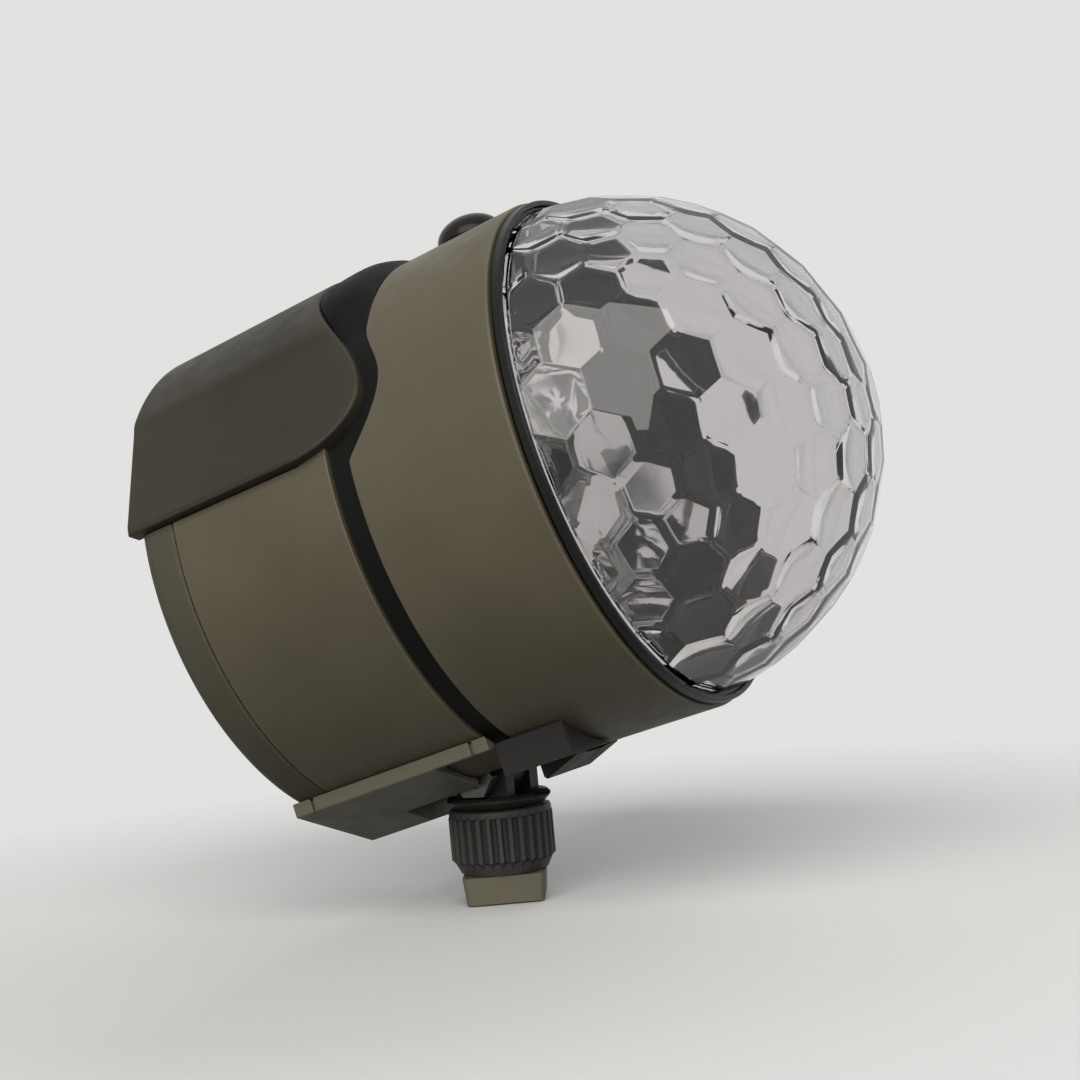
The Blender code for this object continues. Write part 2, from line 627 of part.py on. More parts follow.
def rear_shell(frame, origin, material):
    """The rear barrel with its spigot, plate ledge, screw bosses and joint pocket."""
    ledge_radius = SPIGOT_INNER_RADIUS - LEDGE_WIDTH
    ledge_back = LEDGE_FRONT_X - LEDGE_THICKNESS
    profile = [
        (REAR_SHELL_BACK_X, SHELL_INNER_RADIUS),
        (REAR_SHELL_BACK_X, BODY_RADIUS - EDGE_BREAK / 2),
        (REAR_SHELL_BACK_X + EDGE_BREAK / 2, BODY_RADIUS),
        (REAR_SHELL_FRONT_X - EDGE_BREAK, BODY_RADIUS),
        (REAR_SHELL_FRONT_X, BODY_RADIUS - EDGE_BREAK),
        (REAR_SHELL_FRONT_X, SPIGOT_RADIUS),
        (-SPIGOT_FRONT, SPIGOT_RADIUS),
        (-SPIGOT_FRONT, SPIGOT_INNER_RADIUS),
        (LEDGE_FRONT_X, SPIGOT_INNER_RADIUS),
        (LEDGE_FRONT_X, ledge_radius),
        (ledge_back, ledge_radius),
        (ledge_back - LEDGE_WIDTH, SHELL_INNER_RADIUS)]
    shell = add_object("rear_shell", turned(profile, ROUND_STEPS), material, frame, origin)
    join(shell, pocket_liner(), "pocket_liner")
    boss_back = REAR_SHELL_BACK_X + REAR_CAP_PLUG_LENGTH + FIT_GAP
    for k, (side, rise) in enumerate(rear_screw_places()):
        boss = turned([(boss_back, 0), (boss_back, SCREW_BOSS_RADIUS),
                       (boss_back + SCREW_BOSS_LENGTH, SCREW_BOSS_RADIUS),
                       (boss_back + SCREW_BOSS_LENGTH, 0)], SMALL_STEPS)
        join(shell, moved(boss, (0, side, rise)), f"boss_{k + 1}")
    cut(shell, joint_pocket(), "joint_pocket")
    for k, side in enumerate((-MOUNT_SCREW_SPREAD, MOUNT_SCREW_SPREAD)):
        cut(shell, bracket_screw_hole(side), f"bracket_hole_{k + 1}")
    cut(shell, cover_seat(), "cover_seat")
    cut(shell, window_cutter(), "window_hole")
    for k, (side, rise) in enumerate(rear_screw_places()):
        hole = turned(rear_screw_hole(), SMALL_STEPS)
        cut(shell, moved(hole, (0, side, rise)), f"screw_hole_{k + 1}")
    for k, side in enumerate((-PAD_SCREW_SPREAD, PAD_SCREW_SPREAD)):
        cut(shell, pad_screw_hole(side), f"pad_hole_{k + 1}")
    return shell


def pocket_liner():
    """The walls inside the barrel that close off the joint's pocket."""
    half = POCKET_HALF_WIDTH + POCKET_WALL
    middle = SPIGOT_RADIUS - SPIGOT_WALL / 2
    swing = math.asin(half / middle)
    top = -PIVOT_DROP + POCKET_CEILING + POCKET_WALL
    outline = arc((0, 0), middle, -math.pi / 2 - swing, -math.pi / 2 + swing, SMALL_STEPS // 2)
    outline += [(half, top), (-half, top)]
    reach = POCKET_RADIUS + POCKET_WALL
    return prism(outline, -PIVOT_BACK - reach, -PIVOT_BACK + reach, "X")


def joint_pocket():
    """The round pocket under the body in which the fork swings, as a cutter."""
    lift = math.asin(POCKET_CEILING / POCKET_RADIUS)
    outline = arc((-PIVOT_BACK, -PIVOT_DROP), POCKET_RADIUS, -math.pi - lift, lift, FINE_STEPS)
    return prism(outline, -POCKET_HALF_WIDTH, POCKET_HALF_WIDTH, "Y")


def rear_screw_places():
    """The four screws of the rear cap, as (y, z) in the lamp frame."""
    return [(REAR_SCREW_CIRCLE * math.cos(REAR_SCREW_ANGLE + math.pi / 2 * k),
             REAR_SCREW_CIRCLE * math.sin(REAR_SCREW_ANGLE + math.pi / 2 * k)) for k in range(4)]


def rear_screw_hole():
    """The pilot hole for one rear screw, as a profile along x."""
    front = CAP_BACK_X + SCREW_SINK_DEPTH + SCREW_LENGTH + OVERRUN
    return [(CAP_BACK_X - OVERRUN, 0), (CAP_BACK_X - OVERRUN, SCREW_SHANK_RADIUS + FIT_GAP),
            (front, SCREW_SHANK_RADIUS + FIT_GAP), (front, 0)]


def rear_cap(frame, origin, material):
    """The rear cover: a shallow cup whose plug fits inside the rear shell."""
    front = REAR_SHELL_BACK_X - FIT_GAP
    plug_front = REAR_SHELL_BACK_X + REAR_CAP_PLUG_LENGTH
    plug_outer = SHELL_INNER_RADIUS - FIT_GAP
    plug_inner = plug_outer - REAR_CAP_PLUG_WALL
    corner = arc((CAP_BACK_X + REAR_CAP_ROUND, BODY_RADIUS - REAR_CAP_ROUND), REAR_CAP_ROUND,
                 math.pi / 2, math.pi, 3)
    rim_front = plug_front - EDGE_BREAK
    profile = [
        (rim_front, plug_inner),
        (rim_front, plug_outer),
        (front, plug_outer),
        (front, BODY_RADIUS - EDGE_BREAK / 2),
        (front - EDGE_BREAK / 2, BODY_RADIUS)]
    profile += corner
    profile += [
        (CAP_BACK_X, 0),
        (CAP_BACK_X + REAR_CAP_WALL, 0),
        (CAP_BACK_X + REAR_CAP_WALL, plug_inner)]
    cap = add_object("rear_cap", turned(profile, ROUND_STEPS), material, frame, origin)
    wall_front = CAP_BACK_X + REAR_CAP_WALL - OVERRUN
    for k, (side, rise) in enumerate(rear_screw_places()):
        post = turned([(wall_front, 0), (wall_front, SCREW_POST_RADIUS),
                       (plug_front, SCREW_POST_RADIUS), (plug_front, 0)], SMALL_STEPS)
        join(cap, moved(post, (0, side, rise)), f"post_{k + 1}")
    for k, side in enumerate((-DRIVER_POST_SPREAD, DRIVER_POST_SPREAD)):
        end = -DRIVER_BOARD_BACK - FIT_GAP
        post = turned([(wall_front, 0), (wall_front, DRIVER_POST_RADIUS),
                       (end, DRIVER_POST_RADIUS), (end, 0)], SMALL_STEPS)
        join(cap, moved(post, (0, side, 0)), f"board_post_{k + 1}")
    cut(cap, cover_seat(), "cover_seat")
    head_x = CAP_BACK_X + SCREW_SINK_DEPTH
    for k, (side, rise) in enumerate(rear_screw_places()):
        sink = turned([
            (CAP_BACK_X - OVERRUN, 0),
            (CAP_BACK_X - OVERRUN, SCREW_HEAD_RADIUS + FIT_GAP),
            (head_x, SCREW_HEAD_RADIUS + FIT_GAP),
            (head_x, SCREW_SHANK_RADIUS + FIT_GAP),
            (plug_front + OVERRUN, SCREW_SHANK_RADIUS + FIT_GAP),
            (plug_front + OVERRUN, 0)], SMALL_STEPS)
        cut(cap, moved(sink, (0, side, rise)), f"screw_hole_{k + 1}")
    for k, side in enumerate((-DRIVER_POST_SPREAD, DRIVER_POST_SPREAD)):
        bottom = -DRIVER_BOARD_BACK - DRIVER_SCREW_LENGTH
        pilot = turned([(bottom, 0), (bottom, SCREW_SHANK_RADIUS + FIT_GAP),
                        (-DRIVER_BOARD_BACK + OVERRUN, SCREW_SHANK_RADIUS + FIT_GAP),
                        (-DRIVER_BOARD_BACK + OVERRUN, 0)], SMALL_STEPS)
        cut(cap, moved(pilot, (0, side, 0)), f"board_hole_{k + 1}")
    inlet_hole = turned([(CAP_BACK_X - OVERRUN, 0), (CAP_BACK_X - OVERRUN, INLET_BARREL_RADIUS + FIT_GAP),
                         (CAP_BACK_X + REAR_CAP_WALL + OVERRUN, INLET_BARREL_RADIUS + FIT_GAP),
                         (CAP_BACK_X + REAR_CAP_WALL + OVERRUN, 0)], SMALL_STEPS)
    cut(cap, moved(inlet_hole, (0, 0, -INLET_DROP)), "inlet_hole")
    return cap


def seal_band(frame, origin, material):
    """The black seal between the two shells. It widens round the cover's nose and rises over
    the top into a rounded lip."""
    loops = []
    below = math.pi + 2 * SCALLOP_START_ANGLE
    angles = seam_angles()
    angles += [math.pi - SCALLOP_START_ANGLE + below * k / SEAM_BELOW_STEPS
               for k in range(1, SEAM_BELOW_STEPS)]
    for angle in angles:
        level = folded(angle)
        front = scallop(angle) + FIT_GAP
        back = -REAR_SHELL_FRONT_X - FIT_GAP
        if level > COVER_EDGE_ANGLE:
            cover = cover_front(angle) - 2 * FIT_GAP
            back = cover if level > COVER_CREST_ANGLE else min(back, cover)
        rise = smooth_step(level, SEAL_LIP_START_ANGLE, SEAL_LIP_END_ANGLE)
        lip = SEAL_RADIUS + (SEAL_LIP_RADIUS - SEAL_RADIUS) * rise
        edge = SEAL_RADIUS + (FRONT_SHELL_REAR_RADIUS - SEAL_RADIUS) * rise
        shoulder = edge + (lip - edge) * SEAL_SHOULDER_RISE_SHARE
        fall = lip - (lip - edge) * SEAL_REAR_FALL_SHARE
        width = back - front
        loops.append([
            around(angle, back, COVER_INNER_RADIUS),
            around(angle, front, COVER_INNER_RADIUS),
            around(angle, front, edge - EDGE_BREAK / 2),
            around(angle, front + width * SEAL_SHOULDER_SHARE, shoulder),
            around(angle, front + width / 2, lip),
            around(angle, back - EDGE_BREAK / 2, fall),
            around(angle, back, fall - EDGE_BREAK / 2)])
    return add_object("seal_band", skin(loops, cyclic=True), material, frame, origin)


def bottom_cover(frame, origin, material):
    """The shallow keel under the rear shell, with side strips and a notch for the joint."""
    outline = [
        (KEEL_HALF_WIDTH, -KEEL_STRIP_DROP + KEEL_SEAT_HEIGHT),
        (KEEL_HALF_WIDTH, -KEEL_STRIP_DROP),
        (KEEL_RIDGE_HALF_WIDTH, -KEEL_RIDGE_DROP),
        (-KEEL_RIDGE_HALF_WIDTH, -KEEL_RIDGE_DROP),
        (-KEEL_HALF_WIDTH, -KEEL_STRIP_DROP),
        (-KEEL_HALF_WIDTH, -KEEL_STRIP_DROP + KEEL_SEAT_HEIGHT)]
    front = -PAD_BACK - FIT_GAP
    keel = add_object("bottom_cover", prism(outline, -KEEL_BACK, front, "X"), material,
                      frame, origin)
    reach = OVERRUN
    body = turned([(-KEEL_BACK - reach, 0), (-KEEL_BACK - reach, BODY_RADIUS + FIT_GAP),
                   (front + reach, BODY_RADIUS + FIT_GAP), (front + reach, 0)], ROUND_STEPS)
    cut(keel, body, "body_seat")
    deep = -KEEL_RIDGE_DROP - OVERRUN
    high = -KEEL_STRIP_DROP + KEEL_SEAT_HEIGHT + OVERRUN
    notch_back = -PIVOT_BACK - KEEL_NOTCH_REACH
    cut(keel, block((notch_back, -KEEL_NOTCH_HALF_WIDTH, deep),
                    (front + reach, KEEL_NOTCH_HALF_WIDTH, high)), "joint_notch")
    wide = KEEL_HALF_WIDTH + OVERRUN
    cut(keel, block((-KEEL_FLANK_FRONT, -wide, deep), (front + reach, wide, -KEEL_STRIP_DROP)),
        "flank_end")
    for side in (-1, 1):
        low, high_side = sorted((side * (KEEL_HALF_WIDTH - KEEL_SEAM_DEPTH), side * wide))
        for k, place in enumerate((-KEEL_BACK + KEEL_RIDGE_HALF_WIDTH,
                                   -PAD_BACK - KEEL_RIDGE_HALF_WIDTH)):
            cut(keel, block((place, low, deep), (place + KEEL_SEAM_WIDTH, high_side, high)),
                f"seam_{'near' if side < 0 else 'far'}_{k + 1}")
    return keel


def pad_screw_hole(side):
    """A screw hole up through the cross pad and into the body, as a cutter."""
    top = -math.sqrt(BODY_RADIUS**2 - PAD_SCREW_SPREAD**2) + SHELL_WALL + OVERRUN
    hole = turned([(-PIVOT_DROP - KEEL_RIDGE_DROP, 0),
                   (-PIVOT_DROP - KEEL_RIDGE_DROP, SCREW_SHANK_RADIUS + FIT_GAP),
                   (top, SCREW_SHANK_RADIUS + FIT_GAP), (top, 0)], SMALL_STEPS, "Z")
    return moved(hole, (-pad_screw_back(), side, 0))


def pad_screw_back():
    """The pad's screws lie in the middle of its length."""
    return (PAD_BACK + PAD_FRONT) / 2


def cross_pad(frame, origin, material):
    """The dark pad across the body in front of the joint, with a rib that slopes forward."""
    top = -PAD_DROP + PAD_SEAT_HEIGHT
    pad = add_object("cross_pad", block((-PAD_BACK, -PAD_HALF_WIDTH, -PAD_DROP),
                                        (-PAD_FRONT, PAD_HALF_WIDTH, top)),
                     material, frame, origin)
    rib = [(-PAD_BACK, -PAD_DROP + SHELL_WALL), (-PAD_BACK, -PAD_RIB_DROP + EDGE_BREAK),
           (-PAD_BACK + EDGE_BREAK, -PAD_RIB_DROP), (-PAD_RIB_FRONT, -PAD_DROP - EDGE_BREAK / 2),
           (-PAD_RIB_FRONT, -PAD_DROP + SHELL_WALL)]
    join(pad, prism(rib, -PAD_RIB_HALF_WIDTH, PAD_RIB_HALF_WIDTH, "Y"), "rib")
    reach = OVERRUN
    seat_radius = RIM_RADIUS - EDGE_BREAK / 2 + FIT_GAP
    body = turned([(-PAD_BACK - reach, 0), (-PAD_BACK - reach, seat_radius),
                   (-PAD_FRONT + reach, seat_radius), (-PAD_FRONT + reach, 0)], ROUND_STEPS)
    cut(pad, body, "body_seat")
    for k, side in enumerate((-PAD_SCREW_SPREAD, PAD_SCREW_SPREAD)):
        cut(pad, pad_screw_hole(side), f"screw_hole_{k + 1}")
    return pad


def bracket_plate_bottom():
    """The height of the bracket plate's lower face in the lamp frame."""
    return -PIVOT_DROP + POCKET_CEILING - FIT_GAP - MOUNT_PLATE_THICKNESS


def bracket_screw_hole(side):
    """A screw hole up through the bracket plate and the pocket's ceiling, as a cutter."""
    low = bracket_plate_bottom() - OVERRUN
    high = -PIVOT_DROP + POCKET_CEILING + POCKET_WALL + OVERRUN
    radius = SCREW_SHANK_RADIUS + FIT_GAP
    hole = turned([(low, 0), (low, radius), (high, radius), (high, 0)], SMALL_STEPS, "Z")
    return moved(hole, (-PIVOT_BACK, side, 0))


def joint_bracket(frame, origin, material):
    """The plate on the pocket's ceiling with the ear that the tilt bolt goes through."""
    low = bracket_plate_bottom()
    high = low + MOUNT_PLATE_THICKNESS
    half_length = math.sqrt(POCKET_RADIUS**2 - POCKET_CEILING**2) - FIT_GAP
    bracket = add_object("joint_bracket", block(
        (-PIVOT_BACK - half_length, -MOUNT_PLATE_HALF_WIDTH, low),
        (-PIVOT_BACK + half_length, MOUNT_PLATE_HALF_WIDTH, high)), material, frame, origin)
    outline = arc((-PIVOT_BACK, -PIVOT_DROP), EAR_RADIUS, -math.pi, 0, SMALL_STEPS // 2)
    outline += [(-PIVOT_BACK + EAR_RADIUS, low + EDGE_BREAK),
                (-PIVOT_BACK - EAR_RADIUS, low + EDGE_BREAK)]
    join(bracket, prism(outline, -EAR_HALF_WIDTH, EAR_HALF_WIDTH, "Y"), "ear")
    wide = EAR_HALF_WIDTH + OVERRUN
    bore = turned([(-wide, 0), (-wide, BOLT_RADIUS + FIT_GAP), (wide, BOLT_RADIUS + FIT_GAP),
                   (wide, 0)], SMALL_STEPS, "Y")
    cut(bracket, moved(bore, (-PIVOT_BACK, 0, -PIVOT_DROP)), "bolt_hole")
    for k, side in enumerate((-MOUNT_SCREW_SPREAD, MOUNT_SCREW_SPREAD)):
        cut(bracket, bracket_screw_hole(side), f"screw_hole_{k + 1}")
        sink_top = low + SCREW_HEAD_HEIGHT
        radius = SCREW_HEAD_RADIUS + FIT_GAP
        sink = turned([(low - OVERRUN, 0), (low - OVERRUN, radius), (sink_top, radius),
                       (sink_top, 0)], SMALL_STEPS, "Z")
        cut(bracket, moved(sink, (-PIVOT_BACK, side, 0)), f"screw_sink_{k + 1}")
    return bracket


def screw(name, frame, origin, place, direction, length, material):
    """A slotted screw. Place is where its head meets its shank, and direction is the way in
    which the shank points: +X, +Z or -X."""
    head = SCREW_HEAD_RADIUS
    edge = EDGE_BREAK / 2
    profile = [(-SCREW_HEAD_HEIGHT, 0), (-SCREW_HEAD_HEIGHT, head - edge),
               (-SCREW_HEAD_HEIGHT + edge, head), (0, head), (0, SCREW_SHANK_RADIUS),
               (length - SCREW_SHANK_RADIUS / 2, SCREW_SHANK_RADIUS),
               (length, SCREW_SHANK_RADIUS / 2), (length, 0)]
    made = add_object(name, turned(profile, SMALL_STEPS // 2), material, frame, origin)
    slot_floor = -SCREW_HEAD_HEIGHT + SCREW_SLOT_DEPTH
    slot = block((-SCREW_HEAD_HEIGHT - OVERRUN, -SCREW_SLOT_WIDTH / 2, -head - OVERRUN),
                 (slot_floor, SCREW_SLOT_WIDTH / 2, head + OVERRUN))
    turns = {"+X": Matrix.Identity(4), "-X": Matrix.Rotation(math.pi, 4, "Z"),
             "+Z": Matrix.Rotation(-math.pi / 2, 4, "Y")}
    made.data.transform(turns[direction])
    made.data.transform(Matrix.Translation(place))
    bmesh.ops.transform(slot, matrix=turns[direction], verts=slot.verts)
    cut(made, moved(slot, place), "slot")
    return made


def socket_base(frame, material):
    """The square block with the round boss on which the stem and the collar turn."""
    loops = []
    for height, width in ((0, BLOCK_BOTTOM_WIDTH), (BLOCK_TOP, BLOCK_TOP_WIDTH)):
        corner = width / 2 - BLOCK_CORNER_ROUND
        outline = []
        for k, (sx, sy) in enumerate(((1, 1), (-1, 1), (-1, -1), (1, -1))):
            start = math.pi / 2 * k
            outline += arc((sx * corner, sy * corner), BLOCK_CORNER_ROUND, start,
                           start + math.pi / 2, 3)
        loops.append([(x * math.cos(BLOCK_TURN) - y * math.sin(BLOCK_TURN),
                       x * math.sin(BLOCK_TURN) + y * math.cos(BLOCK_TURN), height)
                      for x, y in outline])
    base = add_object("socket_base", skin(loops), material, frame)
    low = BLOCK_TOP - OVERRUN
    boss = turned([(low, 0), (low, BOSS_RADIUS), (BOSS_TOP - EDGE_BREAK, BOSS_RADIUS),
                   (BOSS_TOP, BOSS_RADIUS - EDGE_BREAK), (BOSS_TOP, 0)], FINE_STEPS, "Z")
    join(base, boss, "boss")
    floor = SHANK_BOTTOM - FIT_GAP
    bore = turned([(floor, 0), (floor, SHANK_RADIUS + FIT_GAP),
                   (BOSS_TOP + OVERRUN, SHANK_RADIUS + FIT_GAP), (BOSS_TOP + OVERRUN, 0)],
                  FINE_STEPS, "Z")
    cut(base, bore, "stem_bore")
    return base


def lock_collar(frame, material):
    """The ribbed ring that locks the turn of the stem. It turns round the boss."""
    top = COLLAR_TOP
    bore = COLLAR_BORE_RADIUS
    web = BOSS_TOP + FIT_GAP
    loops = []
    columns = COLLAR_RIBS * 3
    for k in range(columns):
        angle = math.tau * k / columns
        outer = COLLAR_RADIUS if k % 3 else COLLAR_RADIUS - COLLAR_RIB_DEPTH
        profile = [(COLLAR_BOTTOM, bore), (COLLAR_BOTTOM, COLLAR_BOTTOM_RADIUS),
                   (COLLAR_RIB_BOTTOM, outer), (top - EDGE_BREAK, outer),
                   (top, COLLAR_RADIUS - COLLAR_RIB_DEPTH - EDGE_BREAK / 2),
                   (top, SHANK_RADIUS + FIT_GAP), (web, SHANK_RADIUS + FIT_GAP), (web, bore)]
        loops.append([(radius * math.cos(angle), radius * math.sin(angle), height)
                      for height, radius in profile])
    return add_object("lock_collar", skin(loops, cyclic=True), material, frame)


def swivel_stem(frame, material):
    """The shank, the smooth band above the collar and the fork for the ear."""
    profile = [(SHANK_BOTTOM, 0), (SHANK_BOTTOM, SHANK_RADIUS - EDGE_BREAK),
               (SHANK_BOTTOM + EDGE_BREAK, SHANK_RADIUS), (BAND_BOTTOM, SHANK_RADIUS),
               (BAND_BOTTOM, BAND_RADIUS - BAND_CHAMFER),
               (BAND_BOTTOM + BAND_CHAMFER, BAND_RADIUS),
               (BAND_TOP - EDGE_BREAK, BAND_RADIUS), (BAND_TOP, BAND_RADIUS - EDGE_BREAK),
               (BAND_TOP, 0)]
    stem = add_object("swivel_stem", turned(profile, FINE_STEPS, "Z"), material, frame)
    outline = arc((0, PIVOT_HEIGHT), CHEEK_RADIUS, 0, math.pi, SMALL_STEPS // 2)
    outline += [(-CHEEK_RADIUS, BAND_TOP - OVERRUN), (CHEEK_RADIUS, BAND_TOP - OVERRUN)]
    join(stem, prism(outline, -FORK_HALF_WIDTH, FORK_HALF_WIDTH, "Y"), "fork")
    slot_half = EAR_HALF_WIDTH + FIT_GAP
    slot_end = BAND_RADIUS + OVERRUN
    slot_top = PIVOT_HEIGHT + CHEEK_RADIUS + OVERRUN
    cut(stem, block((-slot_end, -slot_half, SLOT_BOTTOM), (slot_end, slot_half, slot_top)), "slot")
    wide = FORK_HALF_WIDTH + OVERRUN
    bore = turned([(-wide, 0), (-wide, BOLT_RADIUS + FIT_GAP), (wide, BOLT_RADIUS + FIT_GAP),
                   (wide, 0)], SMALL_STEPS, "Y")
    cut(stem, moved(bore, (0, 0, PIVOT_HEIGHT)), "bolt_hole")
    return stem


def tilt_bolt(frame, material):
    """The bolt that the lamp tilts on, with its hexagon head towards -y."""
    head_end = -FORK_HALF_WIDTH - FIT_GAP
    end = FORK_HALF_WIDTH + FIT_GAP + NUT_HEIGHT + EDGE_BREAK
    profile = [(head_end - EDGE_BREAK, 0), (head_end - EDGE_BREAK, BOLT_RADIUS),
               (end - EDGE_BREAK, BOLT_RADIUS), (end, BOLT_RADIUS - EDGE_BREAK), (end, 0)]
    bolt = add_object("tilt_bolt", moved(turned(profile, SMALL_STEPS, "Y"), (0, 0, PIVOT_HEIGHT)),
                      material, frame)
    head = prism(polygon(6, BOLT_HEAD_FLATS), head_end - BOLT_HEAD_HEIGHT, head_end, "Y")
    join(bolt, moved(head, (0, 0, PIVOT_HEIGHT)), "head")
    outer = head_end - BOLT_HEAD_HEIGHT
    socket = prism(polygon(6, BOLT_SOCKET_RADIUS * 2), outer - OVERRUN,
                   outer + BOLT_SOCKET_DEPTH, "Y")
    cut(bolt, moved(socket, (0, 0, PIVOT_HEIGHT)), "key_socket")
    return bolt


def tilt_nut(frame, material):
    """The nut on the far end of the tilt bolt."""
    low = FORK_HALF_WIDTH + FIT_GAP
    nut = add_object("tilt_nut", moved(prism(polygon(6, BOLT_HEAD_FLATS), low, low + NUT_HEIGHT, "Y"),
                                       (0, 0, PIVOT_HEIGHT)), material, frame)
    reach = OVERRUN
    radius = BOLT_RADIUS + FIT_GAP
    bore = turned([(low - reach, 0), (low - reach, radius), (low + NUT_HEIGHT + reach, radius),
                   (low + NUT_HEIGHT + reach, 0)], SMALL_STEPS, "Y")
    cut(nut, moved(bore, (0, 0, PIVOT_HEIGHT)), "thread")
    return nut


def facet_directions():
    """The 272 facet directions of the dome's ball, five-fold round +x: the points of a
    triangle grid on an icosahedron and the middles of its small triangles."""
    tops = [Vector((1, 0, 0))]
    share = 1 / math.sqrt(5)
    for k in range(5):
        angle = math.tau * k / 5
        tops.append(Vector((share, 2 * share * math.cos(angle), 2 * share * math.sin(angle))))
    tops += [-top for top in tops]
    edge = min((tops[0] - top).length for top in tops[1:])
    near = edge * (1 + FIT_GAP)
    found = {}
    for i, one in enumerate(tops):
        for j in range(i + 1, len(tops)):
            for k in range(j + 1, len(tops)):
                two, three = tops[j], tops[k]
                if max((one - two).length, (two - three).length, (one - three).length) < near:
                    for direction in triangle_directions(one, two, three):
                        found[tuple(round(value, 6) for value in direction)] = direction
    turn = Matrix.Rotation(DOME_TURN, 3, "X")
    return [turn @ direction for direction in found.values()]


def triangle_directions(one, two, three):
    """The directions on one face of the icosahedron."""
    def grid(i, j):
        return one * (FACET_SPLITS - i - j) + two * i + three * j
    found = []
    for i in range(FACET_SPLITS + 1):
        for j in range(FACET_SPLITS + 1 - i):
            found.append(grid(i, j))
            if i + j < FACET_SPLITS:
                found.append(grid(i, j) + grid(i + 1, j) + grid(i, j + 1))
            if i + j < FACET_SPLITS - 1:
                found.append(grid(i + 1, j) + grid(i, j + 1) + grid(i + 1, j + 1))
    return [direction.normalized() for direction in found]


def faceted_ball():
    """A ball of flat facets: each facet's plane lies at the same distance from the middle."""
    hull = bmesh.new()
    for direction in facet_directions():
        hull.verts.new(direction)
    bmesh.ops.convex_hull(hull, input=hull.verts)
    bmesh.ops.triangulate(hull, faces=hull.faces)
    ball = bmesh.new()
    for face in hull.faces:
        rows = Matrix([vertex.co for vertex in face.verts])
        ball.verts.new(rows.inverted() @ Vector((DOME_FACET_RADIUS,) * 3))
    hull.free()
    bmesh.ops.remove_doubles(ball, verts=ball.verts, dist=FIT_GAP / 10)
    bmesh.ops.convex_hull(ball, input=ball.verts)
    bmesh.ops.dissolve_limit(ball, angle_limit=math.radians(1), verts=ball.verts, edges=ball.edges)
    return ball


def crystal_dome(frame, material):
    """The clear dome: flat facets outside, a smooth hollow inside and a plug rim behind."""
    ball = moved(faceted_ball(), (-DOME_CENTRE_BACK, 0, 0))
    whole = ball.verts[:] + ball.edges[:] + ball.faces[:]
    cutting = bmesh.ops.bisect_plane(ball, geom=whole, plane_co=(DOME_BASE, 0, 0),
                                     plane_no=(1, 0, 0), clear_inner=True)
    rim = [item for item in cutting["geom_cut"] if isinstance(item, bmesh.types.BMEdge)]
    bmesh.ops.edgeloop_fill(ball, edges=rim)
    dome = add_object("crystal_dome", ball, material, frame)
    dome.data.shade_flat()
    inner = DOME_FACET_RADIUS - DOME_WALL
    plug_inner = inner - FIT_GAP
    plug_end = DOME_BASE - DOME_PLUG_LENGTH
    join(dome, turned([(plug_end, plug_inner), (plug_end, DOME_PLUG_RADIUS),
                       (DOME_BASE + OVERRUN, DOME_PLUG_RADIUS), (DOME_BASE + OVERRUN, plug_inner)],
                      ROUND_STEPS), "plug_rim")
    step = math.acos(plug_inner / inner)
    hollow = [(plug_end - OVERRUN, 0), (plug_end - OVERRUN, plug_inner)]
    for k in range(SMALL_STEPS // 2 + 1):
        angle = step + (math.pi / 2 - step) * k / (SMALL_STEPS // 2)
        hollow.append((-DOME_CENTRE_BACK + inner * math.sin(angle), inner * math.cos(angle)))
    hollow[-1] = (hollow[-1][0], 0)
    cut(dome, turned(hollow, FINE_STEPS), "hollow")
    return dome


def dome_carrier(frame, material):
    """The black running ring that holds the dome, with spokes to a hub on the motor shaft."""
    skirt_inner = DOME_PLUG_RADIUS + FIT_GAP
    profile = [
        (-CARRIER_DEPTH, skirt_inner), (-CARRIER_DEPTH, CARRIER_RADIUS),
        (CARRIER_FLANGE_BACK, CARRIER_RADIUS), (CARRIER_FLANGE_BACK, CARRIER_LIP_RADIUS),
        (CARRIER_LIP_FRONT, CARRIER_LIP_RADIUS), (CARRIER_LIP_FRONT, CARRIER_LIP_INNER_RADIUS),
        (CARRIER_FLANGE_FRONT, CARRIER_LIP_INNER_RADIUS), (CARRIER_FLANGE_FRONT, skirt_inner)]
    carrier = add_object("dome_carrier", turned(profile, ROUND_STEPS), material, frame)
    spoke_back = -CARRIER_DEPTH + FIT_GAP
    for k in range(SPOKE_COUNT):
        spoke = block((spoke_back, -SPOKE_WIDTH / 2, HUB_RADIUS / 2),
                      (-SPOKE_FRONT, SPOKE_WIDTH / 2, skirt_inner + CARRIER_WALL / 2))
        turn = Matrix.Rotation(math.tau * k / SPOKE_COUNT, 4, "X")
        join(carrier, moved(spoke, (0, 0, 0), turn), f"spoke_{k + 1}")
    hub = turned([(-HUB_BACK, 0), (-HUB_BACK, HUB_RADIUS), (-SPOKE_FRONT, HUB_RADIUS),
                  (-SPOKE_FRONT, 0)], FINE_STEPS)
    join(carrier, hub, "hub")
    seat = -SHAFT_FRONT + FIT_GAP
    bore = turned([(-HUB_BACK - OVERRUN, 0), (-HUB_BACK - OVERRUN, SHAFT_RADIUS + FIT_GAP),
                   (seat, SHAFT_RADIUS + FIT_GAP), (seat, SCREW_SHANK_RADIUS + FIT_GAP),
                   (-SPOKE_FRONT + OVERRUN, SCREW_SHANK_RADIUS + FIT_GAP),
                   (-SPOKE_FRONT + OVERRUN, 0)], SMALL_STEPS)
    cut(carrier, bore, "shaft_bore")
    return carrier


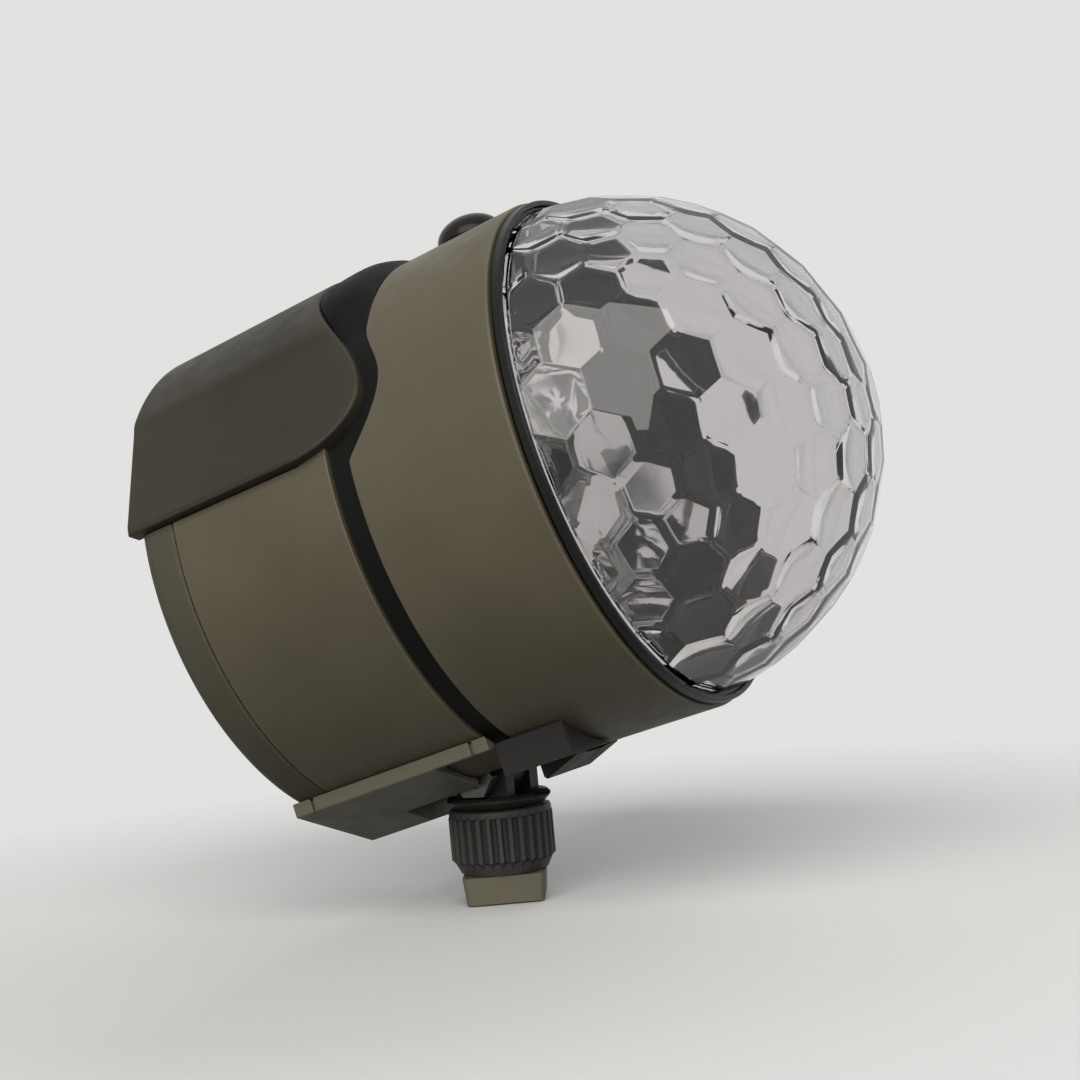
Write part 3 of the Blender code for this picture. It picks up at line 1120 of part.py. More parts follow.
def drive_shaft(frame, material):
    """The motor's shaft, with a hole in its front end for the hub screw."""
    radius = SCREW_SHANK_RADIUS + FIT_GAP
    hole_end = -SPOKE_FRONT - HUB_SCREW_LENGTH
    profile = [(-SHAFT_BACK, 0), (-SHAFT_BACK, SHAFT_RADIUS), (-SHAFT_FRONT, SHAFT_RADIUS),
               (-SHAFT_FRONT, radius), (hole_end, radius), (hole_end, 0)]
    return add_object("drive_shaft", turned(profile, SMALL_STEPS), material, frame)


def reflector(frame, origin, material):
    """The silver bowl round the LEDs. It stands on the LED board."""
    outer, inner = [], []
    for k in range(REFLECTOR_STEPS + 1):
        share = k / REFLECTOR_STEPS
        along = REFLECTOR_BASE_X + (-REFLECTOR_RIM_BACK - REFLECTOR_BASE_X) * share
        radius = REFLECTOR_HOLE_RADIUS + (REFLECTOR_RIM_RADIUS - REFLECTOR_HOLE_RADIUS) * math.sqrt(
            1 - (1 - share) ** 2)
        inner.append((along, radius - REFLECTOR_WALL))
        outer.append((along, radius))
    profile = outer + list(reversed(inner))
    return add_object("reflector", turned(profile, FINE_STEPS), material, frame, origin)


def led_places():
    """The four LEDs on their circle, as (y, z) in the lamp frame."""
    return [(LED_CIRCLE * math.cos(LED_TURN + math.tau * k / LED_COUNT),
             LED_CIRCLE * math.sin(LED_TURN + math.tau * k / LED_COUNT))
            for k in range(LED_COUNT)]


def ring_plate(name, back, front, radius, frame, origin, material):
    """A round plate with a hole in the middle for the motor shaft."""
    profile = [(back, PLATE_BORE_RADIUS), (back, radius), (front, radius),
               (front, PLATE_BORE_RADIUS)]
    return add_object(name, turned(profile, FINE_STEPS), material, frame, origin)


def motor_screw_sides():
    """The motor's screws lie on either side of the shaft."""
    return (-MOTOR_SCREW_SPREAD, MOTOR_SCREW_SPREAD)


def heat_plate(frame, origin, material):
    """The plate across the body that carries the LED board in front and the motor behind."""
    radius = SPIGOT_INNER_RADIUS - FIT_GAP
    plate = ring_plate("heat_plate", PLATE_BACK_X, PLATE_FRONT_X, radius, frame, origin, material)
    for k, side in enumerate(motor_screw_sides()):
        sink_floor = PLATE_FRONT_X - SCREW_HEAD_HEIGHT - FIT_GAP
        wide, narrow = SCREW_HEAD_RADIUS + FIT_GAP, SCREW_SHANK_RADIUS + FIT_GAP
        sink = turned([(PLATE_BACK_X - OVERRUN, 0), (PLATE_BACK_X - OVERRUN, narrow),
                       (sink_floor, narrow), (sink_floor, wide), (PLATE_FRONT_X + OVERRUN, wide),
                       (PLATE_FRONT_X + OVERRUN, 0)], SMALL_STEPS)
        cut(plate, moved(sink, (0, side, 0)), f"screw_hole_{k + 1}")
    return plate


def led(number, place, frame, origin, material):
    """One square LED package on the board."""
    side, rise = place
    half = LED_WIDTH / 2
    back = BOARD_FRONT_X + FIT_GAP
    shape = block((back, side - half, rise - half), (back + LED_HEIGHT, side + half, rise + half))
    return add_object(f"led_{number}", shape, material, frame, origin)


def led_lens(number, place, frame, origin, material):
    """One clear lens over its LED, with a cup in its foot."""
    foot = BOARD_FRONT_X + FIT_GAP
    front = -LENS_FRONT_BACK
    middle = (foot + front) / 2
    crown = arc((0, 0), 1, 0, math.pi / 2, 4)
    profile = [(foot + LENS_CUP_DEPTH, 0), (foot + LENS_CUP_DEPTH, LENS_CUP_RADIUS),
               (foot, LENS_CUP_RADIUS), (foot, LENS_FOOT_RADIUS), (middle, LENS_RADIUS)]
    profile += [(middle + (front - middle) * rise, LENS_RADIUS * run) for run, rise in crown[1:]]
    profile[-1] = (front, 0)
    return add_object(f"led_lens_{number}", moved(turned(profile, SMALL_STEPS), (0, *place)),
                      material, frame, origin)


def gear_motor(frame, origin, material):
    """The small geared motor behind the plate."""
    gearbox_back = MOTOR_FRONT_X - MOTOR_GEARBOX_LENGTH
    back = gearbox_back - MOTOR_CAN_LENGTH
    bore = SHAFT_RADIUS + FIT_GAP
    profile = [(back, 0), (back, MOTOR_CAN_RADIUS - EDGE_BREAK), (back + EDGE_BREAK, MOTOR_CAN_RADIUS),
               (gearbox_back, MOTOR_CAN_RADIUS), (gearbox_back, MOTOR_GEARBOX_RADIUS),
               (MOTOR_FRONT_X, MOTOR_GEARBOX_RADIUS), (MOTOR_FRONT_X, bore),
               (MOTOR_FRONT_X - MOTOR_BORE_DEPTH, bore), (MOTOR_FRONT_X - MOTOR_BORE_DEPTH, 0)]
    motor = add_object("gear_motor", turned(profile, FINE_STEPS), material, frame, origin)
    for k, side in enumerate(motor_screw_sides()):
        low = PLATE_FRONT_X - SCREW_HEAD_HEIGHT - MOTOR_SCREW_LENGTH - FIT_GAP
        radius = SCREW_SHANK_RADIUS + FIT_GAP
        hole = turned([(low, 0), (low, radius), (MOTOR_FRONT_X + OVERRUN, radius),
                       (MOTOR_FRONT_X + OVERRUN, 0)], SMALL_STEPS // 2)
        cut(motor, moved(hole, (0, side, 0)), f"screw_hole_{k + 1}")
    return motor


def control_board(frame, origin, material):
    """The driver board, across the housing behind the motor."""
    back = -DRIVER_BOARD_BACK
    board = add_object("control_board", block(
        (back, -DRIVER_BOARD_WIDTH / 2, -DRIVER_BOARD_HEIGHT / 2),
        (back + BOARD_THICKNESS, DRIVER_BOARD_WIDTH / 2, DRIVER_BOARD_HEIGHT / 2)),
        material, frame, origin)
    for k, side in enumerate((-DRIVER_POST_SPREAD, DRIVER_POST_SPREAD)):
        radius = SCREW_SHANK_RADIUS + FIT_GAP
        hole = turned([(back - OVERRUN, 0), (back - OVERRUN, radius),
                       (back + BOARD_THICKNESS + OVERRUN, radius),
                       (back + BOARD_THICKNESS + OVERRUN, 0)], SMALL_STEPS // 2)
        cut(board, moved(hole, (0, side, 0)), f"screw_hole_{k + 1}")
    return board


def power_inlet(frame, origin, material):
    """The round low-voltage socket in the rear cap, with a pin in its bore."""
    seat = CAP_BACK_X - FIT_GAP
    back = seat - INLET_FLANGE_HEIGHT
    end = seat + INLET_BARREL_LENGTH
    floor = back + INLET_BORE_DEPTH
    profile = [(back + EDGE_BREAK, 0), (back + EDGE_BREAK, INLET_PIN_RADIUS),
               (floor, INLET_PIN_RADIUS), (floor, INLET_BORE_RADIUS), (back, INLET_BORE_RADIUS),
               (back, INLET_FLANGE_RADIUS - EDGE_BREAK), (back + EDGE_BREAK, INLET_FLANGE_RADIUS),
               (seat, INLET_FLANGE_RADIUS), (seat, INLET_BARREL_RADIUS),
               (end, INLET_BARREL_RADIUS), (end, 0)]
    return add_object("power_inlet", moved(turned(profile, SMALL_STEPS), (0, 0, -INLET_DROP)),
                      material, frame, origin)


def inlet_nut(frame, origin, material):
    """The nut that holds the inlet from inside."""
    low = CAP_BACK_X + REAR_CAP_WALL + FIT_GAP
    nut = add_object("inlet_nut", moved(prism(polygon(6, INLET_NUT_FLATS), low, low + INLET_NUT_HEIGHT, "X"),
                                        (0, 0, -INLET_DROP)), material, frame, origin)
    radius = INLET_BARREL_RADIUS + FIT_GAP
    bore = turned([(low - OVERRUN, 0), (low - OVERRUN, radius),
                   (low + INLET_NUT_HEIGHT + OVERRUN, radius),
                   (low + INLET_NUT_HEIGHT + OVERRUN, 0)], SMALL_STEPS)
    cut(nut, moved(bore, (0, 0, -INLET_DROP)), "thread")
    return nut


def window_cutter():
    """The round hole for the receiver window's stem, as a cutter."""
    radius = WINDOW_STEM_RADIUS + FIT_GAP
    low = SENSOR_BOTTOM - OVERRUN * 2
    high = RIM_RADIUS + OVERRUN
    hole = turned([(low, 0), (low, radius), (high, radius), (high, 0)], FINE_STEPS // 2, "Z")
    return moved(hole, (-WINDOW_BACK, 0, 0))


def receiver_window(frame, origin, material):
    """The dark rounded window on top of the front shell, hollow for its sensor."""
    cavity = WINDOW_STEM_RADIUS - WINDOW_WALL
    seat = RIM_RADIUS + FIT_GAP
    top = RIM_RADIUS + WINDOW_PROUD
    crown = [(seat + (top - seat) * math.sin(math.pi / 2 * k / 6),
              WINDOW_RADIUS * math.cos(math.pi / 2 * k / 6)) for k in range(7)]
    crown[-1] = (top, 0)
    profile = [(top - WINDOW_WALL, 0), (top - WINDOW_WALL, cavity), (WINDOW_STEM_END, cavity),
               (WINDOW_STEM_END, WINDOW_STEM_RADIUS), (seat, WINDOW_STEM_RADIUS)]
    return add_object("receiver_window", moved(turned(profile + crown, FINE_STEPS // 2, "Z"),
                                               (-WINDOW_BACK, 0, 0)), material, frame, origin)


def signal_sensor(frame, origin, material):
    """The receiver itself, a small round can inside the window."""
    radius = WINDOW_STEM_RADIUS - WINDOW_WALL - FIT_GAP
    top = RIM_RADIUS + WINDOW_PROUD - WINDOW_WALL - FIT_GAP
    profile = [(SENSOR_BOTTOM, 0), (SENSOR_BOTTOM, radius), (top - EDGE_BREAK, radius),
               (top, radius - EDGE_BREAK), (top, 0)]
    return add_object("signal_sensor", moved(turned(profile, FINE_STEPS // 2, "Z"),
                                             (-WINDOW_BACK, 0, 0)), material, frame, origin)


def build_joint(base, pan):
    """The socket block, the lock collar and the stem with its tilt bolt."""
    black = make_material("joint_plastic", (0.020, 0.020, 0.020), 0.45)
    socket = make_material("socket_plastic", (0.10, 0.095, 0.075), 0.50)
    grip = make_material("collar_plastic", (0.025, 0.025, 0.024), 0.55)
    steel = make_material("bolt_steel", (0.35, 0.35, 0.36), 0.35, metallic=1.0)
    nut_steel = make_material("nut_steel", (0.45, 0.45, 0.46), 0.35, metallic=1.0)
    socket_base(base, socket)
    lock_collar(base, grip)
    swivel_stem(pan, black)
    tilt_bolt(pan, steel)
    tilt_nut(pan, nut_steel)


def build_body(head, origin):
    """The shells, the covers and what fastens them."""
    front_shell(head, origin, make_material("front_plastic", (0.048, 0.046, 0.040), 0.42))
    rear_shell(head, origin, make_material("rear_plastic", (0.046, 0.044, 0.040), 0.45))
    rear_cap(head, origin, make_material("cap_plastic", (0.044, 0.042, 0.038), 0.45))
    top_cover(head, origin, make_material("cover_plastic", (0.036, 0.034, 0.028), 0.40))
    seal_band(head, origin, make_material("seal_rubber", (0.010, 0.010, 0.010), 0.65))
    bottom_cover(head, origin, make_material("keel_plastic", (0.060, 0.056, 0.044), 0.48))
    cross_pad(head, origin, make_material("pad_plastic", (0.018, 0.018, 0.018), 0.50))
    joint_bracket(head, origin, make_material("bracket_plastic", (0.022, 0.022, 0.022), 0.50))
    receiver_window(head, origin, make_material("window_plastic", (0.015, 0.010, 0.012), 0.15))
    signal_sensor(head, origin, make_material("sensor_black", (0.012, 0.012, 0.012), 0.30))
    power_inlet(head, origin, make_material("inlet_plastic", (0.012, 0.012, 0.012), 0.40))
    inlet_nut(head, origin, make_material("inlet_nut_brass", (0.60, 0.48, 0.22), 0.35, metallic=1.0))
    build_body_screws(head, origin)


def build_body_screws(head, origin):
    """The screws of the rear cap, the cross pad and the joint bracket."""
    steel = make_material("screw_steel", (0.40, 0.40, 0.41), 0.35, metallic=1.0)
    head_x = CAP_BACK_X + SCREW_SINK_DEPTH - FIT_GAP
    for k, (side, rise) in enumerate(rear_screw_places()):
        screw(f"rear_screw_{k + 1}", head, origin, (head_x, side, rise), "+X", SCREW_LENGTH, steel)
    pad_bottom = -PAD_DROP - FIT_GAP
    pad_length = pad_bottom_to_body() + SHELL_WALL
    for k, side in enumerate((-PAD_SCREW_SPREAD, PAD_SCREW_SPREAD)):
        screw(f"pad_screw_{k + 1}", head, origin, (-pad_screw_back(), side, pad_bottom), "+Z",
              pad_length, steel)
    low = bracket_plate_bottom() + SCREW_HEAD_HEIGHT - FIT_GAP
    length = MOUNT_PLATE_THICKNESS + POCKET_WALL + EDGE_BREAK
    for k, side in enumerate((-MOUNT_SCREW_SPREAD, MOUNT_SCREW_SPREAD)):
        screw(f"bracket_screw_{k + 1}", head, origin, (-PIVOT_BACK, side, low), "+Z", length, steel)


def pad_bottom_to_body():
    """How far the pad's flat bottom lies below the body where its screws go in."""
    return PAD_DROP - math.sqrt(RIM_RADIUS**2 - PAD_SCREW_SPREAD**2)


def build_light(head, origin):
    """The plate with its LEDs, lenses, reflector and motor, and the driver board."""
    heat_plate(head, origin, make_material("heat_plate_metal", (0.75, 0.75, 0.76), 0.35, metallic=1.0))
    board = make_material("led_board_white", (0.80, 0.80, 0.78), 0.40)
    ring_plate("led_board", BOARD_FRONT_X - BOARD_THICKNESS, BOARD_FRONT_X, BOARD_RADIUS, head,
               origin, board)
    reflector(head, origin, make_material("reflector_silver", (0.80, 0.80, 0.82), 0.15, metallic=1.0))
    colours = ((0.80, 0.10, 0.10), (0.10, 0.70, 0.15), (0.12, 0.20, 0.85), (0.85, 0.82, 0.75))
    for k, place in enumerate(led_places()):
        led(k + 1, place, head, origin, make_material(f"led_{k + 1}_colour", colours[k], 0.30))
        clear = make_material(f"lens_{k + 1}_clear", (0.90, 0.90, 0.90), 0.05, alpha=0.35)
        led_lens(k + 1, place, head, origin, clear)
    gear_motor(head, origin, make_material("motor_steel", (0.55, 0.55, 0.56), 0.35, metallic=1.0))
    control_board(head, origin, make_material("driver_board_green", (0.04, 0.20, 0.08), 0.45))
    steel = make_material("inner_screw_steel", (0.45, 0.45, 0.46), 0.35, metallic=1.0)
    for k, side in enumerate(motor_screw_sides()):
        screw(f"motor_screw_{k + 1}", head, origin, (PLATE_FRONT_X - SCREW_HEAD_HEIGHT, side, 0),
              "-X", MOTOR_SCREW_LENGTH, steel)
    front = -DRIVER_BOARD_BACK + BOARD_THICKNESS + FIT_GAP
    for k, side in enumerate((-DRIVER_POST_SPREAD, DRIVER_POST_SPREAD)):
        screw(f"board_screw_{k + 1}", head, origin, (front, side, 0), "-X",
              DRIVER_SCREW_LENGTH, steel)


def build_dome(frame):
    """The dome with its carrier, shaft and hub screw, all turning together."""
    crystal_dome(frame, make_material("dome_clear", (0.86, 0.85, 0.84), 0.04, alpha=0.35))
    dome_carrier(frame, make_material("carrier_black", (0.010, 0.010, 0.010), 0.50))
    drive_shaft(frame, make_material("shaft_steel", (0.60, 0.60, 0.61), 0.30, metallic=1.0))
    steel = make_material("hub_screw_steel", (0.40, 0.40, 0.41), 0.35, metallic=1.0)
    screw("hub_screw", frame, (0, 0, 0), (-SPOKE_FRONT + FIT_GAP, 0, 0), "-X", HUB_SCREW_LENGTH, steel)


def build_all():
    """The whole lamp. Each moving body hangs on an empty that stands on its joint's axis."""
    clear_scene()
    base = make_frame("base_frame", (0, 0, 0), (0, 0, 0))
    pan = make_frame("pan_axis", (0, 0, 0), (0, 0, 0))
    head = make_frame("tilt_axis", (0, 0, PIVOT_HEIGHT), (0, -LAMP_PITCH, 0))
    head.parent = pan
    lamp_origin = (PIVOT_BACK, 0, PIVOT_DROP)
    dome = make_frame("dome_axis", lamp_origin, (0, 0, 0))
    dome.parent = head
    build_joint(base, pan)
    build_body(head, lamp_origin)
    build_light(head, lamp_origin)
    build_dome(dome)


build_all()
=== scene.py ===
import itertools
import json
import math

import bmesh
import bpy
from mathutils import Matrix, Vector
from mathutils.noise import noise_vector, seed_set

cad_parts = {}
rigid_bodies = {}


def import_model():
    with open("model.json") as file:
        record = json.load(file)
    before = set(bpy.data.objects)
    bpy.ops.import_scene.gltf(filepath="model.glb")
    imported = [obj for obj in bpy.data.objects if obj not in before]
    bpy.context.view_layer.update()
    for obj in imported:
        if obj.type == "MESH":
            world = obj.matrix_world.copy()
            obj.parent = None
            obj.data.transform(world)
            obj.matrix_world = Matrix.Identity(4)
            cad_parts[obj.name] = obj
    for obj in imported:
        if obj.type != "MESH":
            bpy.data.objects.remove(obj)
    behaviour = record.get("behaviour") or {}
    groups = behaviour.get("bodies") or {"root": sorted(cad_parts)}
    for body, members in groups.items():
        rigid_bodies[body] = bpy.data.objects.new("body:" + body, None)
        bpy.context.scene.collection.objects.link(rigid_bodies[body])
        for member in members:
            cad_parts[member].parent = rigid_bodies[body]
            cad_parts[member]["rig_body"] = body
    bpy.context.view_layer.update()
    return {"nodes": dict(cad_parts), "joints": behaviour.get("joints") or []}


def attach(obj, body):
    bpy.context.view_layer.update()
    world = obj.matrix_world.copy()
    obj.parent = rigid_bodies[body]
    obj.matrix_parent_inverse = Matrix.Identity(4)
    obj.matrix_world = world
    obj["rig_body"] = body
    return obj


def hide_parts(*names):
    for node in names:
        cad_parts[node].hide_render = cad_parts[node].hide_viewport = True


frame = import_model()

nodes = frame["nodes"]
joints = {joint["name"]: joint for joint in frame["joints"]}

# The lamp frame: x along the lamp's axis, 0 at the rim and negative backwards, z up
RIM = Vector(joints["dome_spin"]["pos_m"])
AXIS = Vector(joints["dome_spin"]["axis"])
PITCH = math.atan2(AXIS.z, AXIS.x)
LAMP = Matrix.Translation(RIM) @ Matrix.Rotation(-PITCH, 4, "Y")
PIVOT = LAMP.inverted() @ Vector(joints["tilt"]["pos_m"])

# Clearances, roundings and steps, in metres like every size here
FIT_GAP = 0.0003
RUN_GAP = 0.0006
OVERRUN = 0.0010
FINE_EDGE = 0.0003
SHELL_EDGE = 0.0005
WELD = 0.000001
ROUND_STEPS = 288
MIDDLE_STEPS = 96
SMALL_STEPS = 40
ARC_STEPS = 5
SHARP_ANGLE = math.radians(32)
FLAT_ANGLE = math.radians(0.5)
QUARTER = math.pi / 2

# The round body
BODY_RADIUS = 0.0461
REAR_RADIUS = BODY_RADIUS + 0.0003
RIM_RADIUS = REAR_RADIUS + 0.0006
MOUTH_RADIUS = RIM_RADIUS - 0.0018
MOUTH_DEPTH = 0.0120
SPIGOT_RADIUS = BODY_RADIUS - 0.0018
SPIGOT_INNER = SPIGOT_RADIUS - 0.0020
SPIGOT_FRONT = 0.0150
SHELL_INNER = BODY_RADIUS - 0.0033
SHELL_BORE = SPIGOT_RADIUS + 1.5 * FIT_GAP
LEDGE_FRONT = 0.0229
LEDGE_THICKNESS = 0.0023
LEDGE_WIDTH = 0.0028
SHELL_BACK = 0.0296
REAR_START = SHELL_BACK + 0.0042
REAR_END = REAR_START + 0.0320
CAP_END = REAR_END + 0.0075
CAP_ROUND = 0.0024
CAP_ROUND_STEPS = 8
CAP_WALL = 0.0025
CAP_PLUG = 0.0040
CAP_PLUG_WALL = 0.0012
SEAT_RADIUS = SPIGOT_RADIUS + FIT_GAP / 2
COVER_INNER = SEAT_RADIUS + FIT_GAP

# The top cover, the scalloped seam and the seal
COVER_EDGE_ANGLE = math.radians(15.3)
COVER_CORNER_ANGLE = math.radians(27.0)
COVER_CREST_ANGLE = math.radians(46.0)
COVER_BLEND_ANGLE = math.radians(5.0)
COVER_EDGE = 0.0006
COVER_END = CAP_END + 0.0009
COVER_CORNER_BACK = REAR_START + 0.0059
COVER_TOP_BACK = REAR_START + 0.0038
COVER_NOSE_BACK = SHELL_BACK - 0.0040
COVER_FLANK_RADIUS = BODY_RADIUS + 0.0005
COVER_REAR_RADIUS = BODY_RADIUS + 0.0018
COVER_FRONT_RADIUS = BODY_RADIUS + 0.0028
COVER_CORNER_STEPS = 24
COVER_TOP_STEPS = 150
COVER_LENGTH_STEPS = 14
SCALLOP_START_ANGLE = math.radians(11.5)
SCALLOP_NOSE_ANGLE = math.radians(28.0)
SCALLOP_END_ANGLE = math.radians(42.0)
SCALLOP_NOSE_BACK = COVER_NOSE_BACK - 0.0039
SCALLOP_TOP_BACK = SHELL_BACK - 0.0052
SEAL_RADIUS = BODY_RADIUS - 0.0008
SEAL_LIP_RADIUS = COVER_FRONT_RADIUS - 0.0001
SEAL_LIP_START = math.radians(42.0)
SEAL_LIP_END = math.radians(58.0)
SEAL_STEPS = 12
SEAL_FALL_SHARE = 0.2
SEAM_TINY = 0.0002

# The pocket under the body for the joint
POCKET_RADIUS = 0.011289
POCKET_HALF_WIDTH = 0.0112
POCKET_CEILING = 0.0079
POCKET_WALL = 0.0020

# The back: screws and inlet
SCREW_CIRCLE = SHELL_INNER - 0.0034
SCREW_SINK = 0.0030
SCREW_HEAD_RADIUS = 0.0022
SCREW_HEAD_HEIGHT = 0.0015
LOW_HEAD_HEIGHT = 0.0006
SUNK_HEAD_DEPTH = 0.0009
SCREW_SHANK_RADIUS = 0.0012
SCREW_POST_RADIUS = 0.0030
SCREW_LENGTH = 0.0150
SLOT_WIDTH = 0.0007
INLET_DROP = 0.0240
INLET_BORE = 0.00275
INLET_BARREL = INLET_BORE + 0.00125
INLET_FLANGE = INLET_BARREL + 0.0020
INLET_FLANGE_HEIGHT = 0.0018
INLET_DEPTH = 0.0085
INLET_LENGTH = 0.0120
INLET_PIN = 0.0010

# The dome and its carrier
CARRIER_RADIUS = MOUTH_RADIUS - RUN_GAP
CARRIER_WALL = 0.0010
CARRIER_DEPTH = 0.0060
CARRIER_LIP_RADIUS = RIM_RADIUS - 0.0005
CARRIER_LIP_INNER = CARRIER_LIP_RADIUS - CARRIER_WALL
CARRIER_LIP_FRONT = 0.0022
CARRIER_FLANGE_FRONT = 0.0013
CARRIER_FLANGE_BACK = 0.0005
SPOKE_COUNT = 3
SPOKE_WIDTH = 0.0050
SPOKE_FRONT = 0.0036
HUB_RADIUS = 0.0070
HUB_BACK = 0.0074
DOME_BACK = 0.0019
DOME_RADIUS = CARRIER_LIP_INNER - 0.0008
DOME_WALL = 0.0024
DOME_BASE = CARRIER_FLANGE_FRONT + FIT_GAP
DOME_PLUG_RADIUS = CARRIER_RADIUS - CARRIER_WALL - FIT_GAP
DOME_PLUG_END = -SPOKE_FRONT + RUN_GAP
DOME_TURN = math.radians(65)
FACET_SPLITS = 3
FACET_EDGE = 0.00018
LENSLET_RADIUS = 0.0290
LENSLET_TOP = DOME_RADIUS - DOME_WALL - 0.0005
LENSLET_RINGS = 4
LENSLET_SIDE_STEPS = 3

# The light inside
BOARD_FRONT = 0.0177
REFLECTOR_BASE = BOARD_FRONT - FIT_GAP
REFLECTOR_RIM_BACK = CARRIER_DEPTH + 2 * RUN_GAP
REFLECTOR_HOLE = 0.0195
REFLECTOR_RIM = SPIGOT_INNER + 0.0003
REFLECTOR_WALL = 0.0008
REFLECTOR_STEPS = 22
SILVER_REACH = 0.0330
CRINKLE_DEPTH = 0.0004
CRINKLE_SCALE = 700.0
CRINKLE_SEED = 7
LED_CIRCLE = 0.0120
LENS_RADIUS = 0.0065
LENS_FOOT_RADIUS = 0.0052
LENS_FRONT = 0.0080
LENS_CUP_RADIUS = 0.0042
LENS_CUP_DEPTH = 0.0017
LENS_STEPS = 12

# The receiver window and the joint
WINDOW_STEM_RADIUS = 0.0049
WINDOW_RADIUS = WINDOW_STEM_RADIUS + 0.00135
WINDOW_WALL = 0.0014
WINDOW_PROUD = 0.0047
WINDOW_BACK = SCALLOP_TOP_BACK - WINDOW_RADIUS - 0.00225
WINDOW_STEM_END = RIM_RADIUS - 0.0021
COLLAR_RADIUS = 0.0095
COLLAR_BORE = 0.0077
COLLAR_TOP = 0.0166
COLLAR_BOTTOM = 0.0052
COLLAR_TAPER = 0.0021
COLLAR_WEB = 0.0028
COLLAR_RIBS = 30
COLLAR_RIB_DEPTH = 0.0006
COLLAR_RIB_SHARE = 0.62
COLLAR_RIB_STEPS = 12
COLLAR_RIM_HEIGHT = 0.0012
SHANK_BORE = 0.0063

# The camera, fitted to the lamp as it lies in the picture
CAMERA_PLACE = Vector((0.1560, -0.3096, 0.0613))
CAMERA_ROLL = math.radians(5.3)
AIM = Vector((0.0130, 0.0, 0.0640))
FRAME_PIXELS = 1080
FOCAL_PIXELS = 1900
SENSOR = 36.0
LIT_PLACE = Vector((0.01, 0.0, 0.06))

# Looks
PALE = (0.76, 0.76, 0.7524, 1)
WARM = (1.0, 0.97, 0.92)
# Edge lightening of the plastics: part rubbed wear, part painted highlight along the edges
EDGE_WEAR_AND_HIGHLIGHT_SHARE = 0.60
EDGE_WEAR_AND_HIGHLIGHT_REACH = 0.0006
PLASTIC_IOR = 1.48
CLEAR_IOR = 1.49

# From a place along an axis and two places across it to a point
POINTS = {"X": lambda along, u, v: (along, u, v), "Y": lambda along, u, v: (u, along, v),
          "Z": lambda along, u, v: (u, v, along)}


# Shapes
def banded(shape, rows):
    """Faces between each closed row of points and the next."""
    for one, two in zip(rows, rows[1:]):
        for k in range(len(one)):
            after = (k + 1) % len(one)
            shape.faces.new((one[k], one[after], two[after], two[k]))


def skin(loops, cyclic=True):
    """A closed surface through a row of closed loops that have as many points each."""
    shape = bmesh.new()
    rows = [[shape.verts.new(point) for point in loop] for loop in loops]
    banded(shape, rows + rows[:1] if cyclic else rows)
    if not cyclic:
        shape.faces.new(rows[0])
        shape.faces.new(list(reversed(rows[-1])))
    return welded(shape)


def welded(shape):
    """Merge the points that fall together and drop the edges that this leaves loose."""
    bmesh.ops.remove_doubles(shape, verts=shape.verts, dist=WELD)
    loose = [edge for edge in shape.edges if not edge.link_faces]
    bmesh.ops.delete(shape, geom=loose, context="EDGES")
    bmesh.ops.recalc_face_normals(shape, faces=shape.faces)
    return shape


def softened(outline, radius):
    """A closed outline with its corners rounded off, except those on a turning axis."""
    made = []
    for k, corner in enumerate(outline):
        here = Vector(corner)
        before = Vector(outline[k - 1]) - here
        after = Vector(outline[(k + 1) % len(outline)]) - here
        start = here + before.normalized() * min(radius, before.length * 0.45)
        end = here + after.normalized() * min(radius, after.length * 0.45)
        if corner[1] == 0:
            start = end = here
        for j in range(ARC_STEPS + 1):
            t = j / ARC_STEPS
            made.append(tuple(start * (1 - t) ** 2 + here * 2 * t * (1 - t) + end * t * t))
    return made


def turned(profile, steps, axis="X", edge=FINE_EDGE):
    """A turned solid from a closed outline of (place along the axis, radius), with its corners
    rounded off."""
    loops = []
    rounded = softened(profile, edge) if edge else profile
    for k in range(steps):
        angle = math.tau * (k + 0.5) / steps
        loops.append([POINTS[axis](along, radius * math.cos(angle), radius * math.sin(angle))
                      for along, radius in rounded])
    return skin(loops)


def prism(outline, low, high, axis):
    """A straight solid with an outline in the two other axes, from low to high along one."""
    return skin([[POINTS[axis](end, *point) for point in outline] for end in (low, high)],
                cyclic=False)


def arc(centre, radius, start, end, steps):
    turn = (end - start) / steps
    return [(centre[0] + radius * math.cos(start + turn * k),
             centre[1] + radius * math.sin(start + turn * k)) for k in range(steps + 1)]


def crown(foot, top, radius):
    """A quarter of an oval, from its widest place to its last point before the axis."""
    turns = [QUARTER * k / LENS_STEPS for k in range(LENS_STEPS)]
    return [(foot + (top - foot) * math.sin(turn), radius * math.cos(turn)) for turn in turns]


def moved(shape, offset):
    bmesh.ops.translate(shape, vec=Vector(offset), verts=shape.verts)
    return shape


def gathered(shapes):
    """Several shapes in one, each still closed by itself."""
    whole = bmesh.new()
    for shape in shapes:
        mesh = bpy.data.meshes.new("part")
        shape.to_mesh(mesh)
        shape.free()
        whole.from_mesh(mesh)
        bpy.data.meshes.remove(mesh)
    return whole


def placed(name, data):
    """A new object in the scene."""
    made = bpy.data.objects.new(name, data)
    bpy.context.scene.collection.objects.link(made)
    return made


